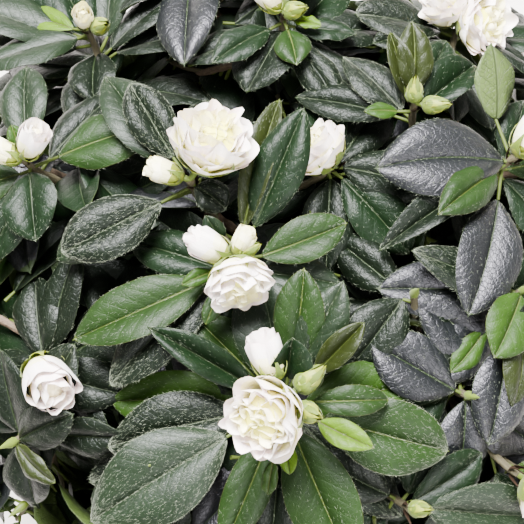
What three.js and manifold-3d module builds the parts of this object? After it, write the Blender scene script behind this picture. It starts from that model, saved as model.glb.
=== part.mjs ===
// A compact, double-flowered evergreen azalea in a plain clay pot, at its real size.
// Millimetres, Z up. The origin is the middle of the pot's flat underside.
import * as THREE from 'three';
import { mergeVertices } from 'three/addons/utils/BufferGeometryUtils.js';
import Module from 'manifold-3d';

const wasm = await Module();
wasm.setup();

// Pot and compost
const POT_HEIGHT = 116;
const POT_RIM_RADIUS = 76;
const POT_BASE_RADIUS = 54;
const POT_WALL = 6;
const POT_FLOOR = 8;
const POT_EDGE = 1.5;
const BAND_HEIGHT = 25;
const BAND_STEP = 4;
const DRAIN_RADIUS = 4.5;
const DRAIN_CIRCLE = 27;
const DRAIN_COUNT = 4;
const COMPOST_BELOW_RIM = 14;
const COMPOST_FALL = 3;
const COMPOST_FLAT_RADIUS = 20;
const CLEARANCE = 0.3;

// Trunk and boughs
const GROUND = POT_HEIGHT - COMPOST_BELOW_RIM + CLEARANCE;
const TRUNK_LENGTH = 50;
const TRUNK_LEAN = [6, -5];
const TRUNK_BASE_RADIUS = 9.5;
const TRUNK_TOP_RADIUS = 6.2;
const TRUNK_FLARE = 4.5;
const TOP_BOUGH_RADIUS = 4.6;
const BOUGH_RADIUS = 4;
const SIDE_BOUGH_RADIUS = 3;
const STEM_RADIUS = 2.4;
const UPPER_START = 0.48;
const UPPER_STEP = 0.075;
const SIDE_START = 0.2;
const SIDE_STEP = 0.16;
const TWIG_RADIUS = 1.6;

// The crown: shoots end on a flattened dome, and their leaves reach past it. Places are tried in a
// spiral over the dome, and then under it, and one too near an earlier shoot is passed over
const DOME_RADIUS = 150;
const DOME_TOP = 95;
const DOME_SKIRT = 66;
const DOME_FULLNESS = 2.7;
const DOME_LEVEL = 200;
const DOME_LOWEST = -0.62;
const FILL_COUNT = 220;
const SHOOT_SPACING = 46;
const INNER_COUNT = 200;
const INNER_DEPTH = 32;
const INNER_SPACING = 41;
const INNER_LOWEST = -0.1;
const UPRIGHT_SHARE = 0.35;

// The masses: one on top, a ring round it and a lower ring
const UPPER_COUNT = 6;
const LOWER_COUNT = 9;
const TOP_HEART = [-6, 8, 252];
const UPPER_HEART = { radius: 88, height: 234, start: -90 };
const LOWER_HEART = { radius: 130, height: 184, start: -70 };
const BOUGH_REACH = 0.6;
const CELL_MARGIN = 0.6;

// Leaves and flowers
const GOLDEN_ANGLE = 137.508;
const ROSETTE_LEAVES = 7;
const INNER_LEAVES = 4;
const LEAF_LONG = 60;
const LEAF_SHORT = 34;
const LEAF_WIDTH_SHARE = 0.5;
const LEAF_WIDEST = 0.58;
const LEAF_THICKEST = 0.32;
const LEAF_SINK = 0.8;
const LEAF_THICKNESS_SHARE = 0.042;
const LEAF_LIFT_LOW = 2;
const LEAF_LIFT_HIGH = 52;
const LEAF_LIFT_BLOOM = 12;
const LEAF_TURNS = [
  [0, 0], [0, 14], [0, -14], [10, 0], [-10, 0], [10, 24], [10, -24], [22, 0], [-22, 0],
  [4, 40], [4, -40], [34, 12], [0, 58], [0, -58],
];
const LEAF_SHRINKS = [1, 0.88, 0.76, 0.64];
const ROSETTE_DEPTH = 24;
const BLOOM_OUTLINE = [[0, 0], [6, 3], [16.5, 16], [11, 27], [0, 29]];
const OPENING_OUTLINE = [[0, 0], [7.2, 10], [5.4, 19], [0, 23]];
const BUD_OUTLINE = [[0, 0], [4.8, 5.5], [0, 14]];
const FLOWER_SIDES = { bloom: 6, opening: 5, bud: 4 };
const FLOWER_OUTLINES = { bloom: BLOOM_OUTLINE, opening: OPENING_OUTLINE, bud: BUD_OUTLINE };

// The shoots on the side that faces front and up, each set by hand: its place in plan, how far it
// lies under the dome, the turn of its leaves, and its flowers as stage, bearing and tilt
const FACING_SHOOTS = [
  {
    at: [8, -72], under: 0, spin: 12,
    flowers: [['bloom', 232, 20], ['opening', 112, 46], ['bud', 35, 58], ['bud', -20, 62]],
  },
  {
    at: [-11, -20], under: 0, spin: 40,
    flowers: [['bloom', 268, 62], ['opening', 168, 60], ['opening', 62, 48], ['bud', 28, 60]],
  },
  { at: [-27, 12], under: 3, spin: 75, flowers: [['bloom', 62, 38], ['opening', 160, 66]] },
  { at: [-94, 27], under: 6, spin: 20, flowers: [['bloom', 20, 52], ['opening', 140, 40]] },
  { at: [-74, 94], under: 8, spin: 130, flowers: [['opening', 40, 40], ['bud', -20, 60]] },
  { at: [9, 92], under: 8, spin: 200, flowers: [['opening', 150, 44], ['bud', -30, 50]] },
  { at: [60, 48], under: 6, spin: 95, flowers: [['bud', 100, 30], ['bud', -10, 50]] },
  { at: [84, 98], under: 6, spin: 160, flowers: [['bloom', 170, 40], ['bloom', -20, 40]] },
  { at: [99, 28], under: 4, spin: 150, flowers: [['opening', 60, 42]] },
  { at: [28, 26], under: 20, spin: 60, flowers: [['bloom', 200, 24]] },
  { at: [-88, -50], under: 26, spin: 10, flowers: [['bloom', 180, 30]] },
  { at: [80, -64], under: 18, spin: 300, flowers: [['bud', 300, 20]] },
  { at: [102, -24], under: 10, spin: 250, flowers: [['bud', 40, 30]] },
  { at: [56, -106], under: 14, spin: 220, flowers: [['opening', 100, 30]] },
  { at: [98, -92], under: 5, spin: 100, flowers: [['bloom', 200, 30]] },
  { at: [-98, -80], under: 12, spin: 330, flowers: [['bud', 90, 20]] },
  { at: [-46, -92], under: 14, spin: 280, flowers: [['bud', 120, 24]] },
];

// How finely a joined mass is smoothed, tried in turn, and how near two corners are made one
const SLIVERS = [0.12, 0.15, 0.18, 0.22, 0.26, 0.3, 0.1, 0.08];
const SAME_PLACE = [0.001, 0.003, 0.006, 0.012];
const FINEST = [0.001, 0.0001];

// Colours, as the finished surfaces read from a step away
const MATERIALS = {
  clay: new THREE.MeshStandardMaterial({ color: 0xb9714d, roughness: 0.85, metalness: 0 }),
  compost: new THREE.MeshStandardMaterial({ color: 0x2f2219, roughness: 1, metalness: 0 }),
  bark: new THREE.MeshStandardMaterial({ color: 0x6f5a45, roughness: 0.9, metalness: 0 }),
  foliage: new THREE.MeshStandardMaterial({ color: 0x33502f, roughness: 0.45, metalness: 0 }),
};

const UP = new THREE.Vector3(0, 0, 1);
const vector = (x, y, z) => new THREE.Vector3(x, y, z);
const radians = THREE.MathUtils.degToRad;
const mix = THREE.MathUtils.lerp;

// An even spread of fractions between 0 and 1, the same in every run
function spread(index, draw) {
  return (0.5 + index * 0.7548776662 + draw * 0.569840291) % 1;
}

// A geometry with only its places left and its shared corners joined, before any of them is moved
function welded(geometry) {
  geometry.deleteAttribute('normal');
  geometry.deleteAttribute('uv');
  return mergeVertices(geometry, 1e-4);
}

// The corners of a welded geometry's faces, without faces that welding has closed up
function faceCorners(geometry) {
  const corners = [];
  for (let i = 0; i < geometry.index.count; i += 3) {
    const [a, b, c] = [0, 1, 2].map((n) => geometry.index.getX(i + n));
    if (a !== b && b !== c && c !== a) corners.push(a, b, c);
  }
  return corners;
}

function solidFrom(geometry, corners) {
  const mesh = new wasm.Mesh({
    numProp: 3,
    vertProperties: new Float32Array(geometry.attributes.position.array),
    triVerts: new Uint32Array(corners),
  });
  return new wasm.Manifold(mesh);
}

// A closed, welded geometry as a solid that can be joined and cut
function solidOf(geometry) {
  return solidFrom(geometry, faceCorners(geometry));
}

// The largest body of a solid: loose scraps go, and hollows that joining has sealed are filled
function mainBody(solid) {
  const bodies = solid.decompose();
  return bodies.reduce((best, body) => (body.volume() > best.volume() ? body : best));
}

// A solid's surface as a geometry
function surface(solid) {
  const { vertProperties, triVerts } = solid.getMesh();
  const geometry = new THREE.BufferGeometry();
  geometry.setAttribute('position', new THREE.BufferAttribute(vertProperties, 3));
  geometry.setIndex(new THREE.BufferAttribute(triVerts, 1));
  return geometry;
}

// Whether every edge of a welded geometry lies between exactly two faces
function isClosed(corners) {
  const uses = new Map();
  for (let i = 0; i < corners.length; i += 3) {
    for (const [from, to] of [[0, 1], [1, 2], [2, 0]]) {
      const ends = [corners[i + from], corners[i + to]].sort((a, b) => a - b).join(' ');
      uses.set(ends, (uses.get(ends) || 0) + 1);
    }
  }
  return [...uses.values()].every((count) => count === 2);
}

// A joined solid with its slivers smoothed away and corners that coincide made one, tried more and
// more coarsely until the result is still one closed body, or nothing if it never is
function settled(solid) {
  for (const fineness of SLIVERS) {
    const calm = surface(mainBody(solid.simplify(fineness)));
    for (const nearness of SAME_PLACE) {
      const joined = [nearness, ...FINEST].reduce((geometry, near) => mergeVertices(geometry, near), calm);
      const corners = faceCorners(joined);
      if (!isClosed(corners)) continue;
      const body = solidFrom(joined, corners);
      if (body.decompose().length === 1) return body;
    }
  }
  return null;
}

// A named mesh of the finished model
function part(name, solid, material) {
  const geometry = surface(solid);
  geometry.computeVertexNormals();
  const mesh = new THREE.Mesh(geometry, material);
  mesh.name = name;
  return mesh;
}

// A profile of radius and height turned round the Z axis
function turned(profile, segments) {
  const points = profile.map(([radius, height]) => new THREE.Vector2(radius, height));
  return welded(new THREE.LatheGeometry(points, segments)).rotateX(Math.PI / 2);
}

// The pot's inner radius at a height
function innerRadius(height) {
  const share = height / POT_HEIGHT;
  return mix(POT_BASE_RADIUS, POT_RIM_RADIUS - BAND_STEP, share) - POT_WALL;
}

function makePot() {
  const bandFoot = POT_HEIGHT - BAND_HEIGHT;
  const wallAtBand = innerRadius(bandFoot) + POT_WALL;
  const profile = [
    [0, 0], [POT_BASE_RADIUS - POT_EDGE, 0], [POT_BASE_RADIUS, POT_EDGE],
    [wallAtBand, bandFoot], [wallAtBand + BAND_STEP - POT_EDGE, bandFoot],
    [wallAtBand + BAND_STEP, bandFoot + POT_EDGE],
    [POT_RIM_RADIUS, POT_HEIGHT - POT_EDGE], [POT_RIM_RADIUS - POT_EDGE, POT_HEIGHT],
    [innerRadius(POT_HEIGHT) + POT_EDGE, POT_HEIGHT],
    [innerRadius(POT_HEIGHT), POT_HEIGHT - POT_EDGE],
    [innerRadius(POT_FLOOR), POT_FLOOR], [0, POT_FLOOR],
  ];
  let pot = solidOf(turned(profile, 28));
  for (let i = 0; i < DRAIN_COUNT; i += 1) {
    const angle = ((i + 0.5) / DRAIN_COUNT) * Math.PI * 2;
    const drain = welded(new THREE.CylinderGeometry(DRAIN_RADIUS, DRAIN_RADIUS, POT_FLOOR * 3, 6));
    drain.rotateX(Math.PI / 2);
    drain.translate(Math.cos(angle) * DRAIN_CIRCLE, Math.sin(angle) * DRAIN_CIRCLE, 0);
    pot = pot.subtract(solidOf(drain));
  }
  return pot;
}

// The space of the pot and a little round it, which the leaves keep out of
function makePotSpace() {
  const radius = POT_RIM_RADIUS + 1;
  const top = POT_HEIGHT + 1;
  const foot = [[0, 0], [POT_BASE_RADIUS, 0], [radius, top - BAND_HEIGHT]];
  return solidOf(turned([...foot, [radius, top], [0, top]], 24));
}

function makeCompost() {
  const foot = POT_FLOOR + CLEARANCE;
  const top = GROUND - CLEARANCE;
  const edge = top - COMPOST_FALL;
  const profile = [
    [0, foot], [innerRadius(foot) - CLEARANCE, foot], [innerRadius(edge) - CLEARANCE, edge],
    [mix(COMPOST_FLAT_RADIUS, innerRadius(edge), 0.55), top - COMPOST_FALL * 0.3],
    [COMPOST_FLAT_RADIUS, top], [0, top],
  ];
  return solidOf(turned(profile, 24));
}

// A round limb along a curve: each ring of a unit cylinder is set round the curve at its own radius
function limb(curve, radiusAt, sides, steps) {
  const geometry = welded(new THREE.CylinderGeometry(1, 1, 1, sides, steps));
  const frames = curve.computeFrenetFrames(steps, false);
  const position = geometry.attributes.position;
  for (let i = 0; i < position.count; i += 1) {
    const ring = Math.round((position.getY(i) + 0.5) * steps);
    const along = ring / steps;
    const [x, z] = [position.getX(i), position.getZ(i)];
    const radius = radiusAt(along, Math.atan2(z, x));
    const place = curve.getPointAt(along)
      .addScaledVector(frames.normals[ring], x * radius)
      .addScaledVector(frames.binormals[ring], -z * radius);
    position.setXYZ(i, place.x, place.y, place.z);
  }
  return solidOf(geometry);
}

// A curve that leaves one point in a given direction and arrives at another in a given direction
function bendBetween(from, fromWay, to, toWay, ease) {
  const length = from.distanceTo(to);
  const first = from.clone().addScaledVector(fromWay, length * ease);
  const second = to.clone().addScaledVector(toWay, -length * ease);
  return new THREE.CubicBezierCurve3(from, first, second, to);
}

// The shoots' dome, as the point that lies in a direction from its middle
function domePoint(way, under) {
  const flat = Math.hypot(way.x, way.y) / (DOME_RADIUS - under);
  const rise = Math.abs(way.z) / ((way.z > 0 ? DOME_TOP : DOME_SKIRT) - under);
  const size = (flat ** DOME_FULLNESS + rise ** DOME_FULLNESS) ** (-1 / DOME_FULLNESS);
  return vector(way.x * size, way.y * size, DOME_LEVEL + way.z * size);
}

// The dome's point over a place in plan
function domeOver(x, y, under) {
  const share = Math.hypot(x, y) / (DOME_RADIUS - under);
  const rise = (1 - share ** DOME_FULLNESS) ** (1 / DOME_FULLNESS);
  return vector(x, y, DOME_LEVEL + (DOME_TOP - under) * rise);
}

// A shoot grows out of the dome, and a little more upright than it
function shootAxis(tip) {
  const flat = Math.hypot(tip.x, tip.y);
  const rise = tip.z - DOME_LEVEL;
  const height = rise > 0 ? DOME_TOP : DOME_SKIRT;
  const outward = Math.sign(rise) * (Math.abs(rise) / height) ** (DOME_FULLNESS - 1) / height;
  const sideways = (flat / DOME_RADIUS) ** (DOME_FULLNESS - 1) / DOME_RADIUS / Math.max(flat, 1);
  const normal = vector(tip.x * sideways, tip.y * sideways, outward).normalize();
  return normal.addScaledVector(UP, UPRIGHT_SHARE).normalize();
}

// Stages and places of the flowers on a shoot that isn't set by hand
function drawnFlowers(index) {
  const first = spread(index, 1);
  const bearing = spread(index, 2) * 360;
  if (first < 0.36) return [['bloom', bearing, 15 + 30 * spread(index, 3)], ['bud', bearing + 150, 55]];
  if (first < 0.62) return [['opening', bearing, 25], ['bud', bearing + 170, 50]];
  return [['bud', bearing, 12]];
}

function makeShoots() {
  const shoots = FACING_SHOOTS.map(({ at, under, spin, flowers }) => {
    const tip = domeOver(at[0], at[1], under);
    return { tip, axis: shootAxis(tip), spin, flowers };
  });
  const fill = (count, lowest, depth, spacing, flowersOf) => {
    for (let i = 0; i < count; i += 1) {
      const height = mix(1, lowest, (i + 0.5) / count);
      const turn = radians(i * GOLDEN_ANGLE);
      const flat = Math.sqrt(1 - height * height);
      const way = vector(Math.cos(turn) * flat, Math.sin(turn) * flat, height);
      const tip = domePoint(way, depth + 9 * spread(i, 0));
      if (shoots.every((shoot) => shoot.tip.distanceTo(tip) > spacing)) {
        shoots.push({ tip, axis: shootAxis(tip), spin: 360 * spread(i, 4), flowers: flowersOf(i) });
      }
    }
  };
  fill(FILL_COUNT, DOME_LOWEST, 4, SHOOT_SPACING, drawnFlowers);
  fill(INNER_COUNT, INNER_LOWEST, INNER_DEPTH, INNER_SPACING, () => []);
  return shoots;
}

// The heart of each mass, the point whose nearest space the mass keeps to
function makeHearts() {
  const hearts = [{ name: 'top', at: vector(...TOP_HEART) }];
  const ring = (name, { radius, height, start }, count) => {
    for (let i = 0; i < count; i += 1) {
      const turn = radians(start + (360 / count) * i);
      const at = vector(Math.cos(turn) * radius, Math.sin(turn) * radius, height);
      hearts.push({ name: `${name}_${i + 1}`, at, turn });
    }
  };
  ring('upper', UPPER_HEART, UPPER_COUNT);
  ring('lower', LOWER_HEART, LOWER_COUNT);
  return hearts;
}

function nearestHeart(point, hearts) {
  const far = (heart) => heart.at.distanceTo(point);
  return hearts.reduce((best, heart) => (far(heart) < far(best) ? heart : best));
}

// Whether every corner of a geometry lies in a mass's own space
function insideSpace(geometry, { heart, hearts }) {
  const position = geometry.attributes.position;
  const corner = new THREE.Vector3();
  for (let i = 0; i < position.count; i += 1) {
    corner.fromBufferAttribute(position, i);
    for (const other of hearts) {
      if (other === heart) continue;
      const way = other.at.clone().sub(heart.at).normalize();
      const middle = heart.at.clone().add(other.at).multiplyScalar(0.5);
      if (corner.clone().sub(middle).dot(way) > -CELL_MARGIN) return false;
    }
  }
  return true;
}

// The trunk's centre line, upright at the ground and leaning towards the fork
const trunkLine = new THREE.CubicBezierCurve3(
  vector(0, 0, GROUND), vector(0, 0, GROUND + TRUNK_LENGTH * 0.4),
  vector(TRUNK_LEAN[0] * 0.5, TRUNK_LEAN[1] * 0.5, GROUND + TRUNK_LENGTH * 0.7),
  vector(TRUNK_LEAN[0], TRUNK_LEAN[1], GROUND + TRUNK_LENGTH),
);

// The trunk's radius, flared at the root into three low ridges
function trunkRadius(along, turn) {
  const flare = TRUNK_FLARE * (1 - along) ** 5;
  const ridges = 1 + 0.25 * Math.cos(3 * turn + 0.6);
  return mix(TRUNK_BASE_RADIUS, TRUNK_TOP_RADIUS, along) + flare * ridges;
}

// A bough's centre line from a point on what bears it to the foot of its mass
function boughLine(from, leave, heart, outward, steepness) {
  const tip = trunkLine.getPointAt(1).lerp(heart.at, BOUGH_REACH);
  const arrive = outward.clone().addScaledVector(UP, steepness).normalize();
  return bendBetween(from, leave.normalize(), tip, arrive, 0.35);
}

// The centre line and end radii of every bough: one on from the trunk's top, the upper ones from its
// sides, each a little higher than the last, and the lower ones from the upper ones
function planBoughs(hearts) {
  const boughs = [];
  for (const heart of hearts) {
    const outward = heart.at.clone().sub(trunkLine.getPointAt(1)).setZ(0).normalize();
    if (heart.name === 'top') {
      const leave = trunkLine.getTangentAt(1);
      const from = trunkLine.getPointAt(1).addScaledVector(leave, CLEARANCE);
      const line = boughLine(from, leave, heart, outward, 9);
      boughs.push({ heart, line, radii: [TOP_BOUGH_RADIUS, STEM_RADIUS] });
    } else if (heart.name.startsWith('upper')) {
      const from = trunkLine.getPointAt(UPPER_START + UPPER_STEP * boughs.length);
      const leave = outward.clone().addScaledVector(UP, 0.7);
      const line = boughLine(from, leave, heart, outward, 1.45);
      boughs.push({ heart, line, radii: [BOUGH_RADIUS, STEM_RADIUS] });
    } else {
      const bearers = boughs.filter((bough) => bough.heart.name.startsWith('upper'));
      const apart = (bough) => Math.abs(Math.sin((bough.heart.turn - heart.turn) / 2));
      const bearer = bearers.reduce((best, bough) => (apart(bough) < apart(best) ? bough : best));
      bearer.borne = (bearer.borne || 0) + 1;
      const place = SIDE_START + SIDE_STEP * bearer.borne;
      const leave = bearer.line.getTangentAt(place).lerp(outward, 0.55);
      const line = boughLine(bearer.line.getPointAt(place), leave, heart, outward, 0.25);
      boughs.push({ heart, line, radii: [SIDE_BOUGH_RADIUS, STEM_RADIUS] });
    }
  }
  return boughs;
}

// A bough's solid, or with a swell the space that others keep clear of
function boughSolid({ line, radii }, swell) {
  return limb(line, (along) => mix(radii[0], radii[1], along) + swell, 6, 4);
}

// Trunk and boughs, each bough cut clear of whatever it springs from or crosses
function makeLimbs(boughs) {
  const trunk = limb(trunkLine, trunkRadius, 12, 6);
  let taken = limb(trunkLine, (along, turn) => trunkRadius(along, turn) + CLEARANCE, 12, 6);
  const solids = boughs.map((bough) => {
    const solid = mainBody(boughSolid(bough, 0).subtract(taken));
    taken = taken.add(boughSolid(bough, CLEARANCE));
    return solid;
  });
  return { trunk, solids, taken };
}

// A leaf: an octahedron whose six corners are the foot, the tip, the two sides and the two faces
function leafGeometry(foot, along, upward, length) {
  const geometry = welded(new THREE.OctahedronGeometry(1));
  const side = along.clone().cross(upward).normalize();
  const position = geometry.attributes.position;
  const half = (length * LEAF_WIDTH_SHARE) / 2;
  const thick = length * LEAF_THICKNESS_SHARE;
  for (let i = 0; i < position.count; i += 1) {
    const [x, y, z] = [position.getX(i), position.getY(i), position.getZ(i)];
    let share = z === 0 ? LEAF_WIDEST : LEAF_THICKEST;
    if (y !== 0) share = y > 0 ? 1 : 0;
    const reach = length * share - (share === 0 ? LEAF_SINK : 0);
    const arch = length * 0.1 * Math.sin(Math.PI * Math.min(share * 1.15, 1));
    const rise = arch + (z === 0 ? 0 : (z * thick) / 2 - thick * 0.4) - (share === 1 ? length * 0.06 : 0);
    const place = foot.clone()
      .addScaledVector(along, reach)
      .addScaledVector(side, x * half)
      .addScaledVector(upward, rise);
    position.setXYZ(i, place.x, place.y, place.z);
  }
  return geometry;
}

// Two directions square to a shoot's axis, the first as near to +X as it can be
function shootFrame(axis) {
  const guide = Math.abs(axis.x) > 0.95 ? vector(0, 1, 0) : vector(1, 0, 0);
  const east = guide.addScaledVector(axis, -guide.dot(axis)).normalize();
  return { east, north: axis.clone().cross(east) };
}

// A direction at a bearing round an axis, raised towards it by an angle
function raised(axis, bearing, lift) {
  const { east, north } = shootFrame(axis);
  const out = east.multiplyScalar(Math.cos(bearing)).addScaledVector(north, Math.sin(bearing));
  return out.multiplyScalar(Math.cos(lift)).addScaledVector(axis, Math.sin(lift)).normalize();
}

// A flower or bud, turned about its own axis and set on the shoot's tip
function flowerGeometry(stage, tip, way) {
  const geometry = turned(FLOWER_OUTLINES[stage], FLOWER_SIDES[stage]);
  geometry.applyQuaternion(new THREE.Quaternion().setFromUnitVectors(UP, way));
  geometry.translate(...tip.clone().addScaledVector(way, -TWIG_RADIUS).toArray());
  return geometry;
}

// Whether a leaf's solid stays clear of the limbs, the flowers and every other shoot's leaves
function clearOfAll(leaf, mass, shoot) {
  if (!leaf.intersect(mass.taken).isEmpty()) return false;
  const others = mass.leaves.filter((other) => other.shoot !== shoot).map((other) => other.solid);
  return [...mass.flowers, ...others].every((other) => leaf.intersect(other).isEmpty());
}

// Adds a leaf where it fits: turned up, then shortened, until it keeps its space and touches nothing
function addLeaf(mass, shoot, foot, bearing, lift, length) {
  for (const shrink of LEAF_SHRINKS) {
    for (const [rise, turn] of LEAF_TURNS) {
      const along = raised(shoot.axis, bearing + radians(turn), radians(lift + rise));
      const upward = shoot.axis.clone().addScaledVector(along, -shoot.axis.dot(along)).normalize();
      const geometry = leafGeometry(foot, along, upward, length * shrink);
      if (!insideSpace(geometry, mass)) continue;
      const leaf = solidOf(geometry);
      if (!clearOfAll(leaf, mass, shoot)) continue;
      mass.leaves.push({ solid: leaf, shoot });
      return;
    }
  }
}

// The rosette of a shoot: long low leaves first, each next one shorter, higher and more upright,
// though leaves round an open bloom stay low
function addRosette(mass, shoot, index) {
  const inBloom = shoot.flowers.some(([stage]) => stage === 'bloom');
  const highest = inBloom ? LEAF_LIFT_BLOOM : LEAF_LIFT_HIGH;
  const count = shoot.flowers.length > 0 ? ROSETTE_LEAVES : INNER_LEAVES;
  for (let k = 0; k < count; k += 1) {
    const share = k / (count - 1);
    const bearing = radians(shoot.spin + k * GOLDEN_ANGLE);
    const foot = shoot.tip.clone().addScaledVector(shoot.axis, -mix(ROSETTE_DEPTH, 4, share));
    const length = mix(LEAF_LONG, LEAF_SHORT, share) * (0.9 + 0.2 * spread(index, 5 + k));
    addLeaf(mass, shoot, foot, bearing, mix(LEAF_LIFT_LOW, highest, share), length);
  }
}

function addFlowers(mass, shoot) {
  for (const [stage, bearing, tilt] of shoot.flowers) {
    const way = raised(shoot.axis, radians(bearing), radians(90 - tilt));
    const geometry = flowerGeometry(stage, shoot.tip, way);
    if (insideSpace(geometry, mass)) mass.flowers.push(solidOf(geometry));
  }
}

// Adds a twig along a curve if it keeps its space and touches no limb
function addTwig(mass, curve, radii, steps) {
  const twig = limb(curve, (along) => mix(radii[0], radii[1], along), 3, steps);
  const clear = insideSpace(surface(twig), mass) && twig.intersect(mass.taken).isEmpty();
  if (clear) mass.twigs.push(twig);
  return clear;
}

// One mass: a stem from the bough's tip to the middle shoot, a twig from the stem to each other
// shoot, and the leaves and flowers of every shoot, all fused
function makeMass(bough, shoots, hearts, taken) {
  const { heart, line } = bough;
  const mass = { heart, hearts, taken, twigs: [], flowers: [], leaves: [] };
  const way = line.getTangentAt(1);
  const foot = line.getPointAt(1).addScaledVector(way, CLEARANCE);
  const inside = (tip) => tip.distanceTo(foot.clone().addScaledVector(way, tip.distanceTo(foot)));
  const own = shoots.filter((shoot) => nearestHeart(shoot.tip, hearts) === heart);
  own.sort((a, b) => inside(a.tip) - inside(b.tip));
  const [leader, ...others] = own;
  const stem = bendBetween(foot, way, leader.tip, leader.axis, 0.35);
  addTwig(mass, stem, [STEM_RADIUS, TWIG_RADIUS], 4);
  const grown = [leader];
  others.forEach((shoot, k) => {
    const place = 0.2 + (0.45 * k) / Math.max(others.length - 1, 1);
    const from = stem.getPointAt(place);
    const leave = stem.getTangentAt(place).lerp(shoot.tip.clone().sub(from).normalize(), 0.6).normalize();
    const curve = bendBetween(from, leave, shoot.tip, shoot.axis, 0.3);
    if (addTwig(mass, curve, [TWIG_RADIUS * 1.25, TWIG_RADIUS * 0.9], 3)) grown.push(shoot);
  });
  grown.forEach((shoot) => addFlowers(mass, shoot));
  grown.forEach((shoot) => addRosette(mass, shoot, shoots.indexOf(shoot)));
  return fused(mass);
}

// The twigs, flowers and leaves of a mass as one closed solid. Where the whole can't be closed, the
// leaf that stands in the way is left out, found by leaving out each in turn
function fused({ twigs, flowers, leaves }) {
  const blades = leaves.map((leaf) => leaf.solid);
  while (blades.length > 0) {
    for (let skipped = blades.length; skipped >= 0; skipped -= 1) {
      const kept = blades.filter((blade, i) => i !== skipped);
      const body = settled(wasm.Manifold.union([...twigs, ...flowers, ...kept]));
      if (body) return body;
    }
    blades.pop();
  }
  throw new Error('a mass stays open after smoothing');
}

const hearts = makeHearts();
const shoots = makeShoots();
const boughs = planBoughs(hearts);
const limbs = makeLimbs(boughs);
const limbsAndPot = limbs.taken.add(makePotSpace());

const azalea = new THREE.Group();
azalea.add(part('pot', makePot(), MATERIALS.clay));
azalea.add(part('compost', makeCompost(), MATERIALS.compost));
azalea.add(part('trunk', limbs.trunk, MATERIALS.bark));
boughs.forEach((bough, i) => {
  azalea.add(part(`bough_${bough.heart.name}`, limbs.solids[i], MATERIALS.bark));
});
boughs.forEach((bough) => {
  const mass = makeMass(bough, shoots, hearts, limbsAndPot);
  azalea.add(part(`foliage_${bough.heart.name}`, mass, MATERIALS.foliage));
});

export default azalea;
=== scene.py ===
# A potted azalea: clay pot, compost, woody limbs and a crown of leaves, white double flowers and buds.
# Sizes in the code are millimetres unless a name or a property says otherwise.
import math
import random
from collections import namedtuple

import bmesh
import bpy
import numpy as np
from bpy.props import FloatProperty, FloatVectorProperty, IntProperty, PointerProperty
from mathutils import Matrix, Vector, noise


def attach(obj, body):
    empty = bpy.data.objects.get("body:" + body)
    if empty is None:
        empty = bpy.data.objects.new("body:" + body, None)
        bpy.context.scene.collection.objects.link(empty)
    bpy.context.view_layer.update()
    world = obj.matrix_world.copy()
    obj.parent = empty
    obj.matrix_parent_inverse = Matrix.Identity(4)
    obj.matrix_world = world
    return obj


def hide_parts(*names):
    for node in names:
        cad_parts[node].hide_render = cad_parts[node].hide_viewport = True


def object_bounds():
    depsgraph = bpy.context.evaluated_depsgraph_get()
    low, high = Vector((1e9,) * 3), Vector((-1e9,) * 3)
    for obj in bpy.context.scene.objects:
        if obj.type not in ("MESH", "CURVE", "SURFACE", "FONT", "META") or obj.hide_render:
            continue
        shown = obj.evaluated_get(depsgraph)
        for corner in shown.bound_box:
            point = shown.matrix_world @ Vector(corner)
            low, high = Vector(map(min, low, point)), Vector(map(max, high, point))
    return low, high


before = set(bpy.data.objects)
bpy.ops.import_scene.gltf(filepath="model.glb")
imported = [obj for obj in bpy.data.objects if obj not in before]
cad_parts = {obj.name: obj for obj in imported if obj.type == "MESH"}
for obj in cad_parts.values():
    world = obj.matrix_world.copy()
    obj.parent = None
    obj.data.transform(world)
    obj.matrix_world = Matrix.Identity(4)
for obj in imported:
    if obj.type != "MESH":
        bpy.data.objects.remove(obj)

bl_info = {
    "name": "Potted azalea",
    "version": (1, 0, 0),
    "blender": (4, 5, 0),
    "location": "View3D > Sidebar > Azalea",
    "description": "Grows a compact white azalea in a clay pot",
    "category": "Add Mesh",
}

CAD_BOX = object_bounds()
MM = 0.001
UP = np.array([0.0, 0.0, 1.0])

# Pot and compost, as in the frame
POT_HEIGHT = 116
POT_RIM_RADIUS = 76
POT_BASE_RADIUS = 54
POT_WALL = 6
POT_FLOOR = 8
POT_EDGE = 1.5
BAND_HEIGHT = 25
BAND_STEP = 4
DRAIN_RADIUS = 4.5
DRAIN_CIRCLE = 27
DRAIN_COUNT = 4
COMPOST_BELOW_RIM = 14
COMPOST_FALL = 3
COMPOST_GAP = 0.5
COMPOST_RINGS = 46
COMPOST_RING_STEP = 1.4
CLEARANCE = 0.3

# The compost's surface: how far under it the straight side ends, where its fall to the wall ends, how
# deep the crumbs go, the smooth circle round the trunk and its soft edge, the noises of coarse and
# fine crumbs, and how tall a crumb gets
COMPOST_SHOULDER = 8
COMPOST_FALL_RADIUS = 60
CRUMB_LAYER = 6
SMOOTH_RADIUS = 12
SMOOTH_EDGE = 6
CRUMB_SCALES = (260, 620)
CRUMB_LIMIT = 1.4

# Corners round the turned meshes
POT_STEPS = 128
COMPOST_STEPS = 180

# Trunk and boughs
GROUND = POT_HEIGHT - COMPOST_BELOW_RIM + CLEARANCE
TRUNK_LENGTH = 50
TRUNK_LEAN = (6, -5)
TRUNK_BASE_RADIUS = 9.5
TRUNK_TOP_RADIUS = 6.2
TRUNK_FLARE = 4.5
TOP_BOUGH_RADIUS = 4.6
BOUGH_RADIUS = 4
SIDE_BOUGH_RADIUS = 3
STEM_RADIUS = 2.4
BARK_SCALE = 0.35
BARK_DEPTH = 0.28
UPPER_START = 0.48
UPPER_STEP = 0.075
SIDE_START = 0.2
SIDE_STEP = 0.16
TWIG_RADIUS = 1.6

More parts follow.
